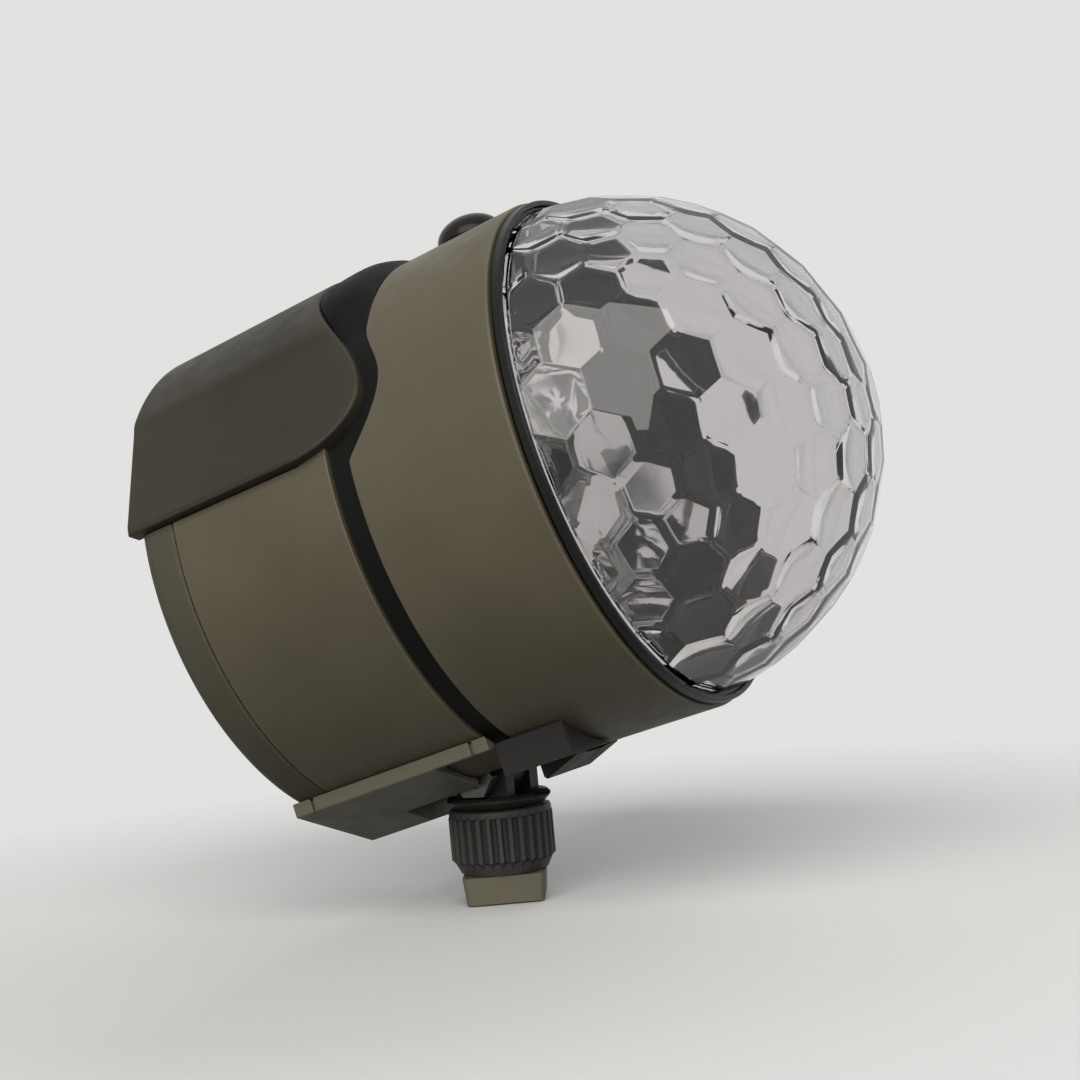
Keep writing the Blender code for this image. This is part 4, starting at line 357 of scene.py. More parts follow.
def combined(shape, helper, operation):
    """Join a helper shape to a shape, or cut it away, with an exact Boolean."""
    parts = []
    for label, source in (("target", shape), ("helper", helper)):
        mesh = bpy.data.meshes.new(label)
        source.to_mesh(mesh)
        source.free()
        parts.append(placed(label, mesh))
    step = parts[0].modifiers.new("step", "BOOLEAN")
    step.operation = operation
    step.solver = "EXACT"
    step.object = parts[1]
    bpy.context.view_layer.update()
    evaluated = parts[0].evaluated_get(bpy.context.evaluated_depsgraph_get())
    result = bmesh.new()
    result.from_mesh(evaluated.to_mesh())
    evaluated.to_mesh_clear()
    for part in parts:
        mesh = part.data
        bpy.data.objects.remove(part)
        bpy.data.meshes.remove(mesh)
    return result


def piece(node, shape, *finishes, slot, lamp=True, smooth=True, bevel=0.0):
    """A shown piece from a shape, in the place of a CAD node and on that node's body."""
    if lamp:
        shape.transform(LAMP)
    mesh = bpy.data.meshes.new(f"{node}_shape")
    shape.to_mesh(mesh)
    shape.free()
    if smooth:
        mesh.shade_smooth()
    mesh.set_sharp_from_angle(angle=SHARP_ANGLE)
    for finish in finishes:
        mesh.materials.append(finish)
    made = placed(f"{node}_shape", mesh)
    if bevel:
        step = made.modifiers.new("edges", "BEVEL")
        step.width = bevel
        step.segments = 3
        step.limit_method = "ANGLE"
        step.angle_limit = SHARP_ANGLE
        step.harden_normals = True
    if smooth:
        even = made.modifiers.new("normals", "WEIGHTED_NORMAL")
        even.keep_sharp = True
    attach(made, nodes[node]["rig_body"])
    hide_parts(node)


def cad_form(node):
    """A copy of a CAD node's own form, with no edges across its flat faces."""
    shape = bmesh.new()
    shape.from_mesh(nodes[node].data)
    welded(shape)
    bmesh.ops.dissolve_limit(shape, angle_limit=FLAT_ANGLE, verts=shape.verts, edges=shape.edges)
    return shape


def dressed(node, finish, slot, bevel=FINE_EDGE):
    """A CAD node's own form with its edges broken and its round faces shaded smooth."""
    piece(node, cad_form(node), finish, slot=slot, lamp=False, bevel=bevel)


# The forms of the body, by the angle above the horizontal
def folded(angle):
    """The same height on either side: at most 90 degrees, and negative underneath."""
    return math.atan2(math.sin(angle), abs(math.cos(angle)))


def smooth_step(value, low, high):
    """0 at the first end, 1 at the other, with no kink at either."""
    share = min(max((value - low) / (high - low), 0.0), 1.0)
    return share * share * (3 - 2 * share)


def around(angle, back, radius):
    """A point on the body, from an angle that runs from the -y side over the top."""
    return (-back, -radius * math.cos(angle), radius * math.sin(angle))


def round_columns():
    return [math.tau * k / ROUND_STEPS for k in range(ROUND_STEPS)]


def cover_front(angle):
    """How far back the cover's front edge lies."""
    level = folded(angle)
    if level < COVER_CORNER_ANGLE:
        share = (COVER_CORNER_ANGLE - level) / (COVER_CORNER_ANGLE - COVER_EDGE_ANGLE)
        reach = math.sqrt(max(1 - share * share, 0.0))
        return COVER_CORNER_BACK - (COVER_CORNER_BACK - COVER_NOSE_BACK) * reach
    share = (level - COVER_CORNER_ANGLE) / (QUARTER - COVER_CORNER_ANGLE)
    swing = (0.5 + 0.5 * math.cos(math.pi * share)) ** 3
    return COVER_TOP_BACK - (COVER_TOP_BACK - COVER_NOSE_BACK) * swing


def scallop(angle):
    """How far back the front shell's rear edge lies."""
    level = folded(angle)
    if level < SCALLOP_START_ANGLE:
        return SHELL_BACK
    if level < SCALLOP_NOSE_ANGLE:
        share = (SCALLOP_NOSE_ANGLE - level) / (SCALLOP_NOSE_ANGLE - SCALLOP_START_ANGLE)
        return SHELL_BACK - (SHELL_BACK - SCALLOP_NOSE_BACK) * math.cos(QUARTER * share)
    share = smooth_step(level, SCALLOP_NOSE_ANGLE, SCALLOP_END_ANGLE)
    return SCALLOP_NOSE_BACK + (SCALLOP_TOP_BACK - SCALLOP_NOSE_BACK) * share


def cover_radius(angle, back):
    """The cover's outer radius: flat flanks up to a crest, then a round top."""
    level = folded(angle)
    flank = COVER_FLANK_RADIUS / math.cos(level - (COVER_EDGE_ANGLE + COVER_CREST_ANGLE) / 2)
    share = (COVER_END - back) / (COVER_END - COVER_NOSE_BACK)
    top = COVER_REAR_RADIUS + (COVER_FRONT_RADIUS - COVER_REAR_RADIUS) * share
    blend = smooth_step(level, COVER_CREST_ANGLE - COVER_BLEND_ANGLE, COVER_CREST_ANGLE)
    low = min(flank, top)
    return low + (top - low) * blend


def front_shell():
    """The front ring of the body with its scalloped rear edge."""
    loops = []
    for angle in round_columns():
        back = scallop(angle)
        rear = RIM_RADIUS + (REAR_RADIUS - RIM_RADIUS) * back / SHELL_BACK
        corners = [(0, MOUTH_RADIUS), (0, RIM_RADIUS), (back, rear), (back, SHELL_BORE),
                   (MOUTH_DEPTH, SHELL_BORE), (MOUTH_DEPTH - OVERRUN, MOUTH_RADIUS)]
        loops.append([around(angle, *corner) for corner in softened(corners, SHELL_EDGE)])
    return skin(loops)


def seat_columns():
    """The round columns, with pairs close together where the cover's seat begins."""
    seat = COVER_EDGE_ANGLE - FIT_GAP / BODY_RADIUS
    edges = [seat - SEAM_TINY, seat, math.pi - seat, math.pi - seat + SEAM_TINY]
    return sorted(round_columns() + edges)


def under_cover(angle):
    return folded(angle) > COVER_EDGE_ANGLE - FIT_GAP / BODY_RADIUS - SEAM_TINY / 2


def rear_shell():
    """The rear barrel with the cover's seat, its spigot and its ledge."""
    loops = []
    ledge_radius = SPIGOT_INNER - LEDGE_WIDTH
    ledge_back = LEDGE_FRONT + LEDGE_THICKNESS
    for angle in seat_columns():
        seat, low, high = REAR_END - OVERRUN, BODY_RADIUS, BODY_RADIUS
        if under_cover(angle):
            low = SEAT_RADIUS
            seat = min(max(cover_front(angle) - FIT_GAP, REAR_START + OVERRUN), seat)
            if folded(angle) > COVER_CORNER_ANGLE:
                high = SEAT_RADIUS
        corners = [(REAR_START, SPIGOT_RADIUS), (REAR_START, high), (seat, high), (seat, low),
                   (REAR_END, low), (REAR_END, SHELL_INNER),
                   (ledge_back + LEDGE_WIDTH, SHELL_INNER), (ledge_back, ledge_radius),
                   (LEDGE_FRONT, ledge_radius), (LEDGE_FRONT, SPIGOT_INNER),
                   (SPIGOT_FRONT, SPIGOT_INNER), (SPIGOT_FRONT, SPIGOT_RADIUS)]
        loops.append([around(angle, *corner) for corner in softened(corners, FINE_EDGE)])
    return combined(combined(skin(loops), pocket_liner(), "UNION"), joint_pocket(), "DIFFERENCE")


def pocket_liner():
    """The walls inside the barrel round the joint's pocket."""
    half = POCKET_HALF_WIDTH + POCKET_WALL
    middle = (SPIGOT_RADIUS + SPIGOT_INNER) / 2
    swing = math.asin(half / middle)
    top = PIVOT.z + POCKET_CEILING + POCKET_WALL
    outline = arc((0, 0), middle, -QUARTER - swing, -QUARTER + swing, ARC_STEPS)
    outline += [(half, top), (-half, top)]
    reach = POCKET_RADIUS + POCKET_WALL
    return prism(outline, PIVOT.x - reach, PIVOT.x + reach, "X")


def joint_pocket():
    """The round pocket in which the joint's fork swings."""
    lift = math.asin(POCKET_CEILING / POCKET_RADIUS)
    outline = arc((PIVOT.x, PIVOT.z), POCKET_RADIUS, -math.pi - lift, lift, MIDDLE_STEPS)
    return prism(outline, -POCKET_HALF_WIDTH, POCKET_HALF_WIDTH, "Y")


def quarter_places(radius):
    """Four places on a circle, each halfway between two of the lamp's cross axes."""
    angles = [QUARTER * (k + 0.5) for k in range(4)]
    return [(radius * math.cos(angle), radius * math.sin(angle)) for angle in angles]


def rear_cap():
    """The rounded rear cover with its sunk screw holes and the hole for the inlet."""
    start = REAR_END + FIT_GAP
    plug = REAR_END - CAP_PLUG
    plug_outer = SHELL_INNER - FIT_GAP
    plug_inner = plug_outer - CAP_PLUG_WALL
    corner = arc((CAP_END - CAP_ROUND, BODY_RADIUS - CAP_ROUND), CAP_ROUND, QUARTER, 0,
                 CAP_ROUND_STEPS)
    loops = []
    for angle in seat_columns():
        limit = SEAT_RADIUS if under_cover(angle) else BODY_RADIUS
        profile = [(plug, plug_inner), (plug, plug_outer), (start, plug_outer),
                   (start, limit - FINE_EDGE), (start + FINE_EDGE, limit)]
        profile += [(along, min(radius, limit)) for along, radius in corner]
        profile += [(CAP_END, 0), (CAP_END - CAP_WALL, 0), (CAP_END - CAP_WALL, plug_inner)]
        loops.append([around(angle, *point) for point in profile])
    inside = -CAP_END + CAP_WALL
    outside = -CAP_END - OVERRUN
    post = [(inside - OVERRUN, 0), (inside - OVERRUN, SCREW_POST_RADIUS),
            (-plug, SCREW_POST_RADIUS), (-plug, 0)]
    wide, narrow = SCREW_HEAD_RADIUS + FIT_GAP, SCREW_SHANK_RADIUS + FIT_GAP
    floor = -CAP_END + SCREW_SINK
    sink = [(outside, 0), (outside, wide), (floor, wide), (floor, narrow),
            (-plug + OVERRUN, narrow), (-plug + OVERRUN, 0)]
    posts, sinks = [], []
    for side, rise in quarter_places(SCREW_CIRCLE):
        posts.append(moved(turned(post, SMALL_STEPS, edge=0), (0, side, rise)))
        sinks.append(moved(turned(sink, SMALL_STEPS, edge=0), (0, side, rise)))
    barrel = INLET_BARREL + FIT_GAP
    inlet = [(outside, 0), (outside, barrel), (inside + OVERRUN, barrel), (inside + OVERRUN, 0)]
    sinks.append(moved(turned(inlet, SMALL_STEPS, edge=0), (0, 0, -INLET_DROP)))
    cap = combined(skin(loops), gathered(posts), "UNION")
    return combined(cap, gathered(sinks), "DIFFERENCE")


def seal_band():
    """The black seal, which widens round the cover's nose and rises over the top."""
    loops = []
    for angle in round_columns():
        level = folded(angle)
        front = scallop(angle) + FIT_GAP
        back = REAR_START - FIT_GAP
        if level > COVER_EDGE_ANGLE:
            cover = cover_front(angle) - FIT_GAP
            back = cover if level > COVER_CREST_ANGLE else min(back, cover)
        rise = smooth_step(level, SEAL_LIP_START, SEAL_LIP_END)
        lip = SEAL_RADIUS + (SEAL_LIP_RADIUS - SEAL_RADIUS) * rise
        edge = SEAL_RADIUS + (REAR_RADIUS - SEAL_RADIUS) * rise
        loop = [(back, COVER_INNER), (front, COVER_INNER), (front, edge - FINE_EDGE)]
        for k in range(SEAL_STEPS + 1):
            share = k / SEAL_STEPS
            fall = SEAL_FALL_SHARE * max(2 * share - 1, 0) ** 2
            lift = math.sin(QUARTER * min(2 * share, 1)) - fall
            loop.append((front + (back - front) * share, edge + (lip - edge) * lift))
        loop.append((back, edge + (lip - edge) * (1 - SEAL_FALL_SHARE) - FINE_EDGE))
        loops.append([around(angle, *point) for point in loop])
    return skin(loops)


def cover_outline():
    """The cover's front edge from one lower corner over the top to the other, as (angle, back)."""
    spread = COVER_CORNER_ANGLE - COVER_EDGE_ANGLE
    near = [COVER_CORNER_ANGLE - spread * math.cos(QUARTER * k / COVER_CORNER_STEPS)
            for k in range(COVER_CORNER_STEPS)]
    span = math.pi - 2 * COVER_CORNER_ANGLE
    middle = [COVER_CORNER_ANGLE + span * k / COVER_TOP_STEPS for k in range(COVER_TOP_STEPS + 1)]
    angles = near + middle + [math.pi - angle for angle in reversed(near)]
    return [(angle, cover_front(angle)) for angle in angles]


def top_cover():
    """The cover as a plate bent round the body, with a rounded edge all round."""
    outline = [Vector((angle * BODY_RADIUS, back)) for angle, back in cover_outline()]
    columns = []
    for i, point in enumerate(outline):
        ahead = outline[min(i + 1, len(outline) - 1)] - outline[max(i - 1, 0)]
        if i == 0:
            ahead = Vector((0, -1))
        if i == len(outline) - 1:
            ahead = Vector((0, 1))
        inward = Vector((-ahead.y, ahead.x)).normalized()
        front, back = [], []
        for k in range(ARC_STEPS + 1):
            turn = QUARTER * k / ARC_STEPS
            inset = COVER_EDGE * (1 - math.cos(turn))
            drop = COVER_EDGE * (1 - math.sin(turn))
            place = point + inward * inset
            angle, end = place.x / BODY_RADIUS, COVER_END - inset
            front.append(around(angle, place.y, cover_radius(angle, place.y) - drop))
            back.append(around(angle, end, cover_radius(angle, end) - drop))
        along = [place.y + (end - place.y) * k / COVER_LENGTH_STEPS
                 for k in range(1, COVER_LENGTH_STEPS)]
        middle = [around(angle, step, cover_radius(angle, step)) for step in along]
        foot = point.x / BODY_RADIUS
        columns.append([around(foot, point.y, COVER_INNER), *front, *middle, *reversed(back),
                        around(foot, COVER_END, COVER_INNER)])
    return bent_plate(columns)


def bent_plate(columns):
    """A closed plate from columns that run from its front foot over its face to its back foot."""
    shape = bmesh.new()
    rows = [[shape.verts.new(point) for point in column] for column in columns]
    banded(shape, rows)
    for row in (rows[0], rows[-1]):
        for k in range(ARC_STEPS):
            shape.faces.new((row[k], row[k + 1], row[-2 - k], row[-1 - k]))
        shape.faces.new(row[ARC_STEPS:len(row) - ARC_STEPS])
    return welded(shape)


def slotted_screw(axis, seat, end, height, slot_depth, edge):
    """A screw from its head's seat to its end along an axis, with a slot across its head."""
    foot = seat - height
    profile = [(foot, 0), (foot, SCREW_HEAD_RADIUS), (seat, SCREW_HEAD_RADIUS),
               (seat, SCREW_SHANK_RADIUS), (end, SCREW_SHANK_RADIUS), (end, 0)]
    half, reach = SLOT_WIDTH / 2, SCREW_HEAD_RADIUS + OVERRUN
    outline = [(-reach, -half), (reach, -half), (reach, half), (-reach, half)]
    slot = prism(outline, foot - OVERRUN, foot + slot_depth, axis)
    return combined(turned(profile, SMALL_STEPS, axis, edge), slot, "DIFFERENCE")


def back_screw(side, rise):
    """A pan-head screw in the rear cap."""
    screw = slotted_screw("X", 0, SCREW_LENGTH, SCREW_HEAD_HEIGHT, SLOT_WIDTH, SHELL_EDGE)
    return moved(screw, (-CAP_END + SCREW_SINK - FIT_GAP, side, rise))


def lamp_box(node):
    """The ends of a CAD node's box in the lamp's own axes."""
    inverse = LAMP.inverted()
    points = [inverse @ vertex.co for vertex in nodes[node].data.vertices]
    return [Vector([pick(point[k] for point in points) for k in range(3)])
            for pick in (min, max)]


def cross_pad():
    """The CAD pad with a recess for the head of each of its screws."""
    form = cad_form("cross_pad")
    form.transform(LAMP.inverted())
    wide = SCREW_HEAD_RADIUS + FIT_GAP
    recesses = []
    for k in (1, 2):
        low, high = lamp_box(f"pad_screw_{k}")
        middle = (low + high) / 2
        roof = low.z + SCREW_HEAD_HEIGHT + SUNK_HEAD_DEPTH + FIT_GAP
        recess = [(low.z, 0), (low.z, wide), (roof, wide), (roof, 0)]
        recesses.append(moved(turned(recess, SMALL_STEPS, "Z", 0), (middle.x, middle.y, 0)))
    return combined(form, gathered(recesses), "DIFFERENCE")


def upright_screw(node, sunk):
    """A low-headed screw that points up, in the place of a CAD screw or sunk above it."""
    low, high = lamp_box(node)
    middle = (low + high) / 2
    seat = low.z + SCREW_HEAD_HEIGHT + sunk
    screw = slotted_screw("Z", seat, high.z, LOW_HEAD_HEIGHT, SLOT_WIDTH / 2, FINE_EDGE)
    return moved(screw, (middle.x, middle.y, 0))


def power_inlet():
    """The round low-voltage socket in the rear cap."""
    seat = -CAP_END - FIT_GAP
    back = seat - INLET_FLANGE_HEIGHT
    end = seat + INLET_LENGTH
    floor = back + INLET_DEPTH
    profile = [(back + SHELL_EDGE, 0), (back + SHELL_EDGE, INLET_PIN), (floor, INLET_PIN),
               (floor, INLET_BORE), (back, INLET_BORE), (back, INLET_FLANGE),
               (seat, INLET_FLANGE), (seat, INLET_BARREL), (end, INLET_BARREL), (end, 0)]
    return moved(turned(profile, SMALL_STEPS), (0, 0, -INLET_DROP))


def receiver_window():
    """The dark rounded window on top, hollow for its sensor."""
    cavity = WINDOW_STEM_RADIUS - WINDOW_WALL
    seat = RIM_RADIUS + FIT_GAP
    top = RIM_RADIUS + WINDOW_PROUD
    profile = [(top - WINDOW_WALL, 0), (top - WINDOW_WALL, cavity), (WINDOW_STEM_END, cavity),
               (WINDOW_STEM_END, WINDOW_STEM_RADIUS), (seat, WINDOW_STEM_RADIUS)]
    profile += crown(seat, top, WINDOW_RADIUS) + [(top, 0)]
    return moved(turned(profile, MIDDLE_STEPS, "Z", edge=0), (-WINDOW_BACK, 0, 0))


def lock_collar():
    """The ribbed ring: rounded ribs with wide gaps, a plain rim above and a taper below."""
    loops = []
    columns = COLLAR_RIBS * COLLAR_RIB_STEPS
    rib_top = COLLAR_TOP - COLLAR_RIM_HEIGHT
    rib_bottom = COLLAR_BOTTOM + COLLAR_TAPER
    web = COLLAR_TOP - COLLAR_WEB
    for k in range(columns):
        angle = math.tau * k / columns
        place = abs((k % COLLAR_RIB_STEPS) / COLLAR_RIB_STEPS - 0.5) * 2
        dip = COLLAR_RIB_DEPTH * smooth_step(place, COLLAR_RIB_SHARE / 2, COLLAR_RIB_SHARE)
        outer = COLLAR_RADIUS - dip
        foot = COLLAR_BORE + FIT_GAP
        profile = [(COLLAR_BOTTOM, COLLAR_BORE), (COLLAR_BOTTOM, foot),
                   (rib_bottom - FINE_EDGE, COLLAR_RADIUS - COLLAR_RIB_DEPTH),
                   (rib_bottom, outer - FINE_EDGE), (rib_bottom + FINE_EDGE, outer),
                   (rib_top - FINE_EDGE, outer), (rib_top, COLLAR_RADIUS - FINE_EDGE / 2),
                   (COLLAR_TOP - 2 * FINE_EDGE, COLLAR_RADIUS - FINE_EDGE / 2),
                   (COLLAR_TOP - FINE_EDGE / 2, COLLAR_RADIUS - FINE_EDGE),
                   (COLLAR_TOP, COLLAR_RADIUS - 3 * FINE_EDGE),
                   (COLLAR_TOP, SHANK_BORE), (web, SHANK_BORE), (web, COLLAR_BORE)]
        loops.append([(radius * math.cos(angle), radius * math.sin(angle), height)
                      for height, radius in profile])
    return skin(loops)


def dome_carrier():
    """The black running ring with its lip, and in the second material its three spokes and the
    hub on the motor's shaft."""
    skirt = DOME_PLUG_RADIUS + FIT_GAP
    profile = [(-CARRIER_DEPTH, skirt), (-CARRIER_DEPTH, CARRIER_RADIUS),
               (CARRIER_FLANGE_BACK, CARRIER_RADIUS), (CARRIER_FLANGE_BACK, CARRIER_LIP_RADIUS),
               (CARRIER_LIP_FRONT, CARRIER_LIP_RADIUS), (CARRIER_LIP_FRONT, CARRIER_LIP_INNER),
               (CARRIER_FLANGE_FRONT, CARRIER_LIP_INNER), (CARRIER_FLANGE_FRONT, skirt)]
    parts = [turned(profile, ROUND_STEPS)]
    half = SPOKE_WIDTH / 2
    low, high = HUB_RADIUS - OVERRUN, skirt + CARRIER_WALL / 2
    for k in range(SPOKE_COUNT):
        outline = softened([(-half, low), (half, low), (half, high), (-half, high)], SHELL_EDGE)
        spoke = prism(outline, -CARRIER_DEPTH + FIT_GAP, -SPOKE_FRONT, "X")
        spoke.transform(Matrix.Rotation(math.tau * k / SPOKE_COUNT, 4, "X"))
        parts.append(spoke)
    hub = [(-HUB_BACK, 0), (-HUB_BACK, HUB_RADIUS), (-SPOKE_FRONT, HUB_RADIUS), (-SPOKE_FRONT, 0)]
    parts.append(turned(hub, MIDDLE_STEPS, edge=SHELL_EDGE))
    for part in parts[1:]:
        for face in part.faces:
            face.material_index = 1
    return gathered(parts)


def facet_directions():
    """The 272 facet directions of the dome's ball, five-fold round +x."""
    tops = [Vector((1, 0, 0))]
    share = 1 / math.sqrt(5)
    for k in range(5):
        angle = math.tau * k / 5
        tops.append(Vector((share, 2 * share * math.cos(angle), 2 * share * math.sin(angle))))
    tops += [-top for top in tops]
    edge = min((tops[0] - top).length for top in tops[1:]) + FIT_GAP
    found = {}
    for one, two, three in itertools.combinations(tops, 3):
        if max((one - two).length, (two - three).length, (one - three).length) < edge:
            for direction in triangle_directions(one, two, three):
                found[tuple(round(value, 6) for value in direction)] = direction
    turn = Matrix.Rotation(DOME_TURN, 3, "X")
    return [turn @ direction for direction in found.values()]


def triangle_directions(one, two, three):
    def grid(i, j):
        return one * (FACET_SPLITS - i - j) + two * i + three * j
    found = []
    for i in range(FACET_SPLITS + 1):
        for j in range(FACET_SPLITS + 1 - i):
            found.append(grid(i, j))
            if i + j < FACET_SPLITS:
                found.append(grid(i, j) + grid(i + 1, j) + grid(i, j + 1))
            if i + j < FACET_SPLITS - 1:
                found.append(grid(i + 1, j) + grid(i, j + 1) + grid(i + 1, j + 1))
    return [direction.normalized() for direction in found]


def plain_ball():
    """A ball of flat facets that all touch one sphere."""
    hull = bmesh.new()
    for direction in facet_directions():
        hull.verts.new(direction)
    bmesh.ops.convex_hull(hull, input=hull.verts)
    bmesh.ops.triangulate(hull, faces=hull.faces)
    ball = bmesh.new()
    for face in hull.faces:
        rows = Matrix([vertex.co for vertex in face.verts])
        ball.verts.new(rows.inverted() @ Vector((DOME_RADIUS,) * 3))
    hull.free()
    bmesh.ops.remove_doubles(ball, verts=ball.verts, dist=FIT_GAP / 10)
    bmesh.ops.convex_hull(ball, input=ball.verts)
    bmesh.ops.dissolve_limit(ball, angle_limit=math.radians(1), verts=ball.verts, edges=ball.edges)
    bmesh.ops.recalc_face_normals(ball, faces=ball.faces)
    return ball


def faceted_ball():
    """The ball of facets with a fine broken edge between them, in its place."""
    ball = plain_ball()
    bmesh.ops.bevel(ball, geom=ball.edges[:], offset=FACET_EDGE, segments=2, profile=0.5,
                    affect="EDGES")
    return moved(ball, (-DOME_BACK, 0, 0))


def lenslet_outline(face):
    """Points round a facet, evenly along each of its edges."""
    corners = [vertex.co for vertex in face.verts]
    outline = []
    for k, corner in enumerate(corners):
        after = corners[(k + 1) % len(corners)]
        outline += [corner.lerp(after, j / LENSLET_SIDE_STEPS) for j in range(LENSLET_SIDE_STEPS)]
    return outline


def lens_point(hollow, centre, place):
    """A point on the near side of a lens's ball, on the ray to a place on the facet."""
    ray = place.normalized()
    along = ray.dot(centre)
    root = along * along - centre.length_squared + LENSLET_RADIUS ** 2
    return hollow.verts.new(ray * (along - math.sqrt(root)))


def lenslets():
    """The smooth hollow of the dome, with a shallow lens that bulges in behind each facet."""
    hollow = bmesh.new()
    ball = plain_ball()
    for face in ball.faces:
        touch = face.normal * DOME_RADIUS
        centre = face.normal * (LENSLET_TOP + LENSLET_RADIUS)
        outline = lenslet_outline(face)
        middle = lens_point(hollow, centre, touch)
        rows = [[lens_point(hollow, centre, touch.lerp(point, k / LENSLET_RINGS))
                 for point in outline] for k in range(1, LENSLET_RINGS + 1)]
        count = len(outline)
        for k in range(count):
            after = (k + 1) % count
            hollow.faces.new((middle, rows[0][k], rows[0][after]))
            for one, two in zip(rows, rows[1:]):
                hollow.faces.new((one[k], two[k], two[after], one[after]))
    ball.free()
    return moved(welded(hollow), (-DOME_BACK, 0, 0))


def cut_at_base(shape):
    """Keep what lies in front of the dome's base, and close the cut with a flat face."""
    whole = shape.verts[:] + shape.edges[:] + shape.faces[:]
    cutting = bmesh.ops.bisect_plane(shape, geom=whole, plane_co=(DOME_BASE, 0, 0),
                                     plane_no=(1, 0, 0), clear_inner=True)
    rim = [item for item in cutting["geom_cut"] if isinstance(item, bmesh.types.BMEdge)]
    bmesh.ops.edgeloop_fill(shape, edges=rim)
    return shape


def crystal_dome():
    """The clear dome: flat facets outside, the hollow with its lenses inside and a plug rim
    behind. The hollow's faces take the second material."""
    ball = cut_at_base(faceted_ball())
    for face in ball.faces:
        face.smooth = False
    bore = DOME_PLUG_RADIUS - DOME_WALL / 2
    root = DOME_BASE + OVERRUN
    plug = [(DOME_PLUG_END, bore), (DOME_PLUG_END, DOME_PLUG_RADIUS), (root, DOME_PLUG_RADIUS),
            (root, bore)]
    ball = combined(ball, turned(plug, ROUND_STEPS // 2, edge=0), "UNION")
    hollow = cut_at_base(lenslets())
    bmesh.ops.recalc_face_normals(hollow, faces=hollow.faces)
    mouth, clear_bore = DOME_PLUG_END - OVERRUN, bore - FIT_GAP
    way_in = [(mouth, 0), (mouth, clear_bore), (root, clear_bore), (root, 0)]
    cutter = combined(hollow, turned(way_in, ROUND_STEPS // 2, edge=0), "UNION")
    for face in cutter.faces:
        face.smooth = True
        face.material_index = 1
    return combined(ball, cutter, "DIFFERENCE")


def reflector():
    """The bowl round the lenses: crinkled silver near them, black towards the rim."""
    outer, inner = [], []
    for k in range(REFLECTOR_STEPS + 1):
        share = k / REFLECTOR_STEPS
        along = -REFLECTOR_BASE + (REFLECTOR_BASE - REFLECTOR_RIM_BACK) * share
        radius = REFLECTOR_HOLE + (REFLECTOR_RIM - REFLECTOR_HOLE) * math.sqrt(1 - (1 - share) ** 2)
        inner.append((along, radius - REFLECTOR_WALL))
        outer.append((along, radius))
    shape = turned(outer + list(reversed(inner)), ROUND_STEPS // 2, edge=0)
    seed_set(CRINKLE_SEED)
    for vertex in shape.verts:
        share = smooth_step(math.hypot(vertex.co.y, vertex.co.z), SILVER_REACH, REFLECTOR_HOLE)
        vertex.co += noise_vector(vertex.co * CRINKLE_SCALE) * CRINKLE_DEPTH * share
    bmesh.ops.triangulate(shape, faces=shape.faces)
    for face in shape.faces:
        middle = face.calc_center_median()
        silvered = math.hypot(middle.y, middle.z) < SILVER_REACH
        face.material_index = 0 if silvered else 1
        face.smooth = not silvered
    return shape


def led_lens():
    """A clear bulb lens with a cup in its foot for the LED."""
    foot = -BOARD_FRONT + FIT_GAP
    front = -LENS_FRONT
    middle = (foot + front) / 2
    profile = [(foot + LENS_CUP_DEPTH, 0), (foot + LENS_CUP_DEPTH, LENS_CUP_RADIUS),
               (foot, LENS_CUP_RADIUS), (foot, LENS_FOOT_RADIUS)]
    profile += crown(middle, front, LENS_RADIUS) + [(front, 0)]
    return turned(profile, SMALL_STEPS, edge=0)


# Materials
def material(name):
    made = bpy.data.materials.new(name)
    made.use_nodes = True
    tree = made.node_tree
    return made, tree, tree.nodes["Principled BSDF"]


def add(tree, kind, sources=(), **values):
    """A node with its settings, and its inputs linked to (input, node, output)."""
    node = tree.nodes.new(kind)
    for key, value in values.items():
        setattr(node, key, value)
    for target, source, output in sources:
        tree.links.new(source.outputs[output], node.inputs[target])
    return node


def link(tree, source, output, target, name):
    tree.links.new(source.outputs[output], target.inputs[name])


def coordinates(tree):
    return add(tree, "ShaderNodeTexCoord")


def noise(tree, coords, scale, detail=3.0, roughness=0.5):
    node = add(tree, "ShaderNodeTexNoise", [("Vector", coords, "Object")])
    node.inputs["Scale"].default_value = scale
    node.inputs["Detail"].default_value = detail
    node.inputs["Roughness"].default_value = roughness
    return node


def ramp(tree, source, output, stops):
    node = add(tree, "ShaderNodeValToRGB", [("Fac", source, output)])
    elements = node.color_ramp.elements
    while len(elements) < len(stops):
        elements.new(0.5)
    for element, (place, value) in zip(elements, stops):
        element.position = place
        element.color = (*value, 1) if isinstance(value, tuple) else (value, value, value, 1)
    return node


def mixed(tree, factor, output, one, two, shader):
    """Give a shader its colour from two, each of them a colour node or a plain colour."""
    node = add(tree, "ShaderNodeMix", [("Factor", factor, output)], data_type="RGBA")
    for slot, colour in (("A", one), ("B", two)):
        if isinstance(colour, tuple):
            node.inputs[slot].default_value = (*colour, 1)
        else:
            link(tree, colour, "Color", node, slot)
    link(tree, node, "Result", shader, "Base Color")


def bump(tree, shader, source, strength, distance, output="Fac", before=None):
    node = add(tree, "ShaderNodeBump", [("Height", source, output)])
    node.inputs["Strength"].default_value = strength
    node.inputs["Distance"].default_value = distance
    if before:
        link(tree, before, "Normal", node, "Normal")
    link(tree, node, "Normal", shader, "Normal")
    return node


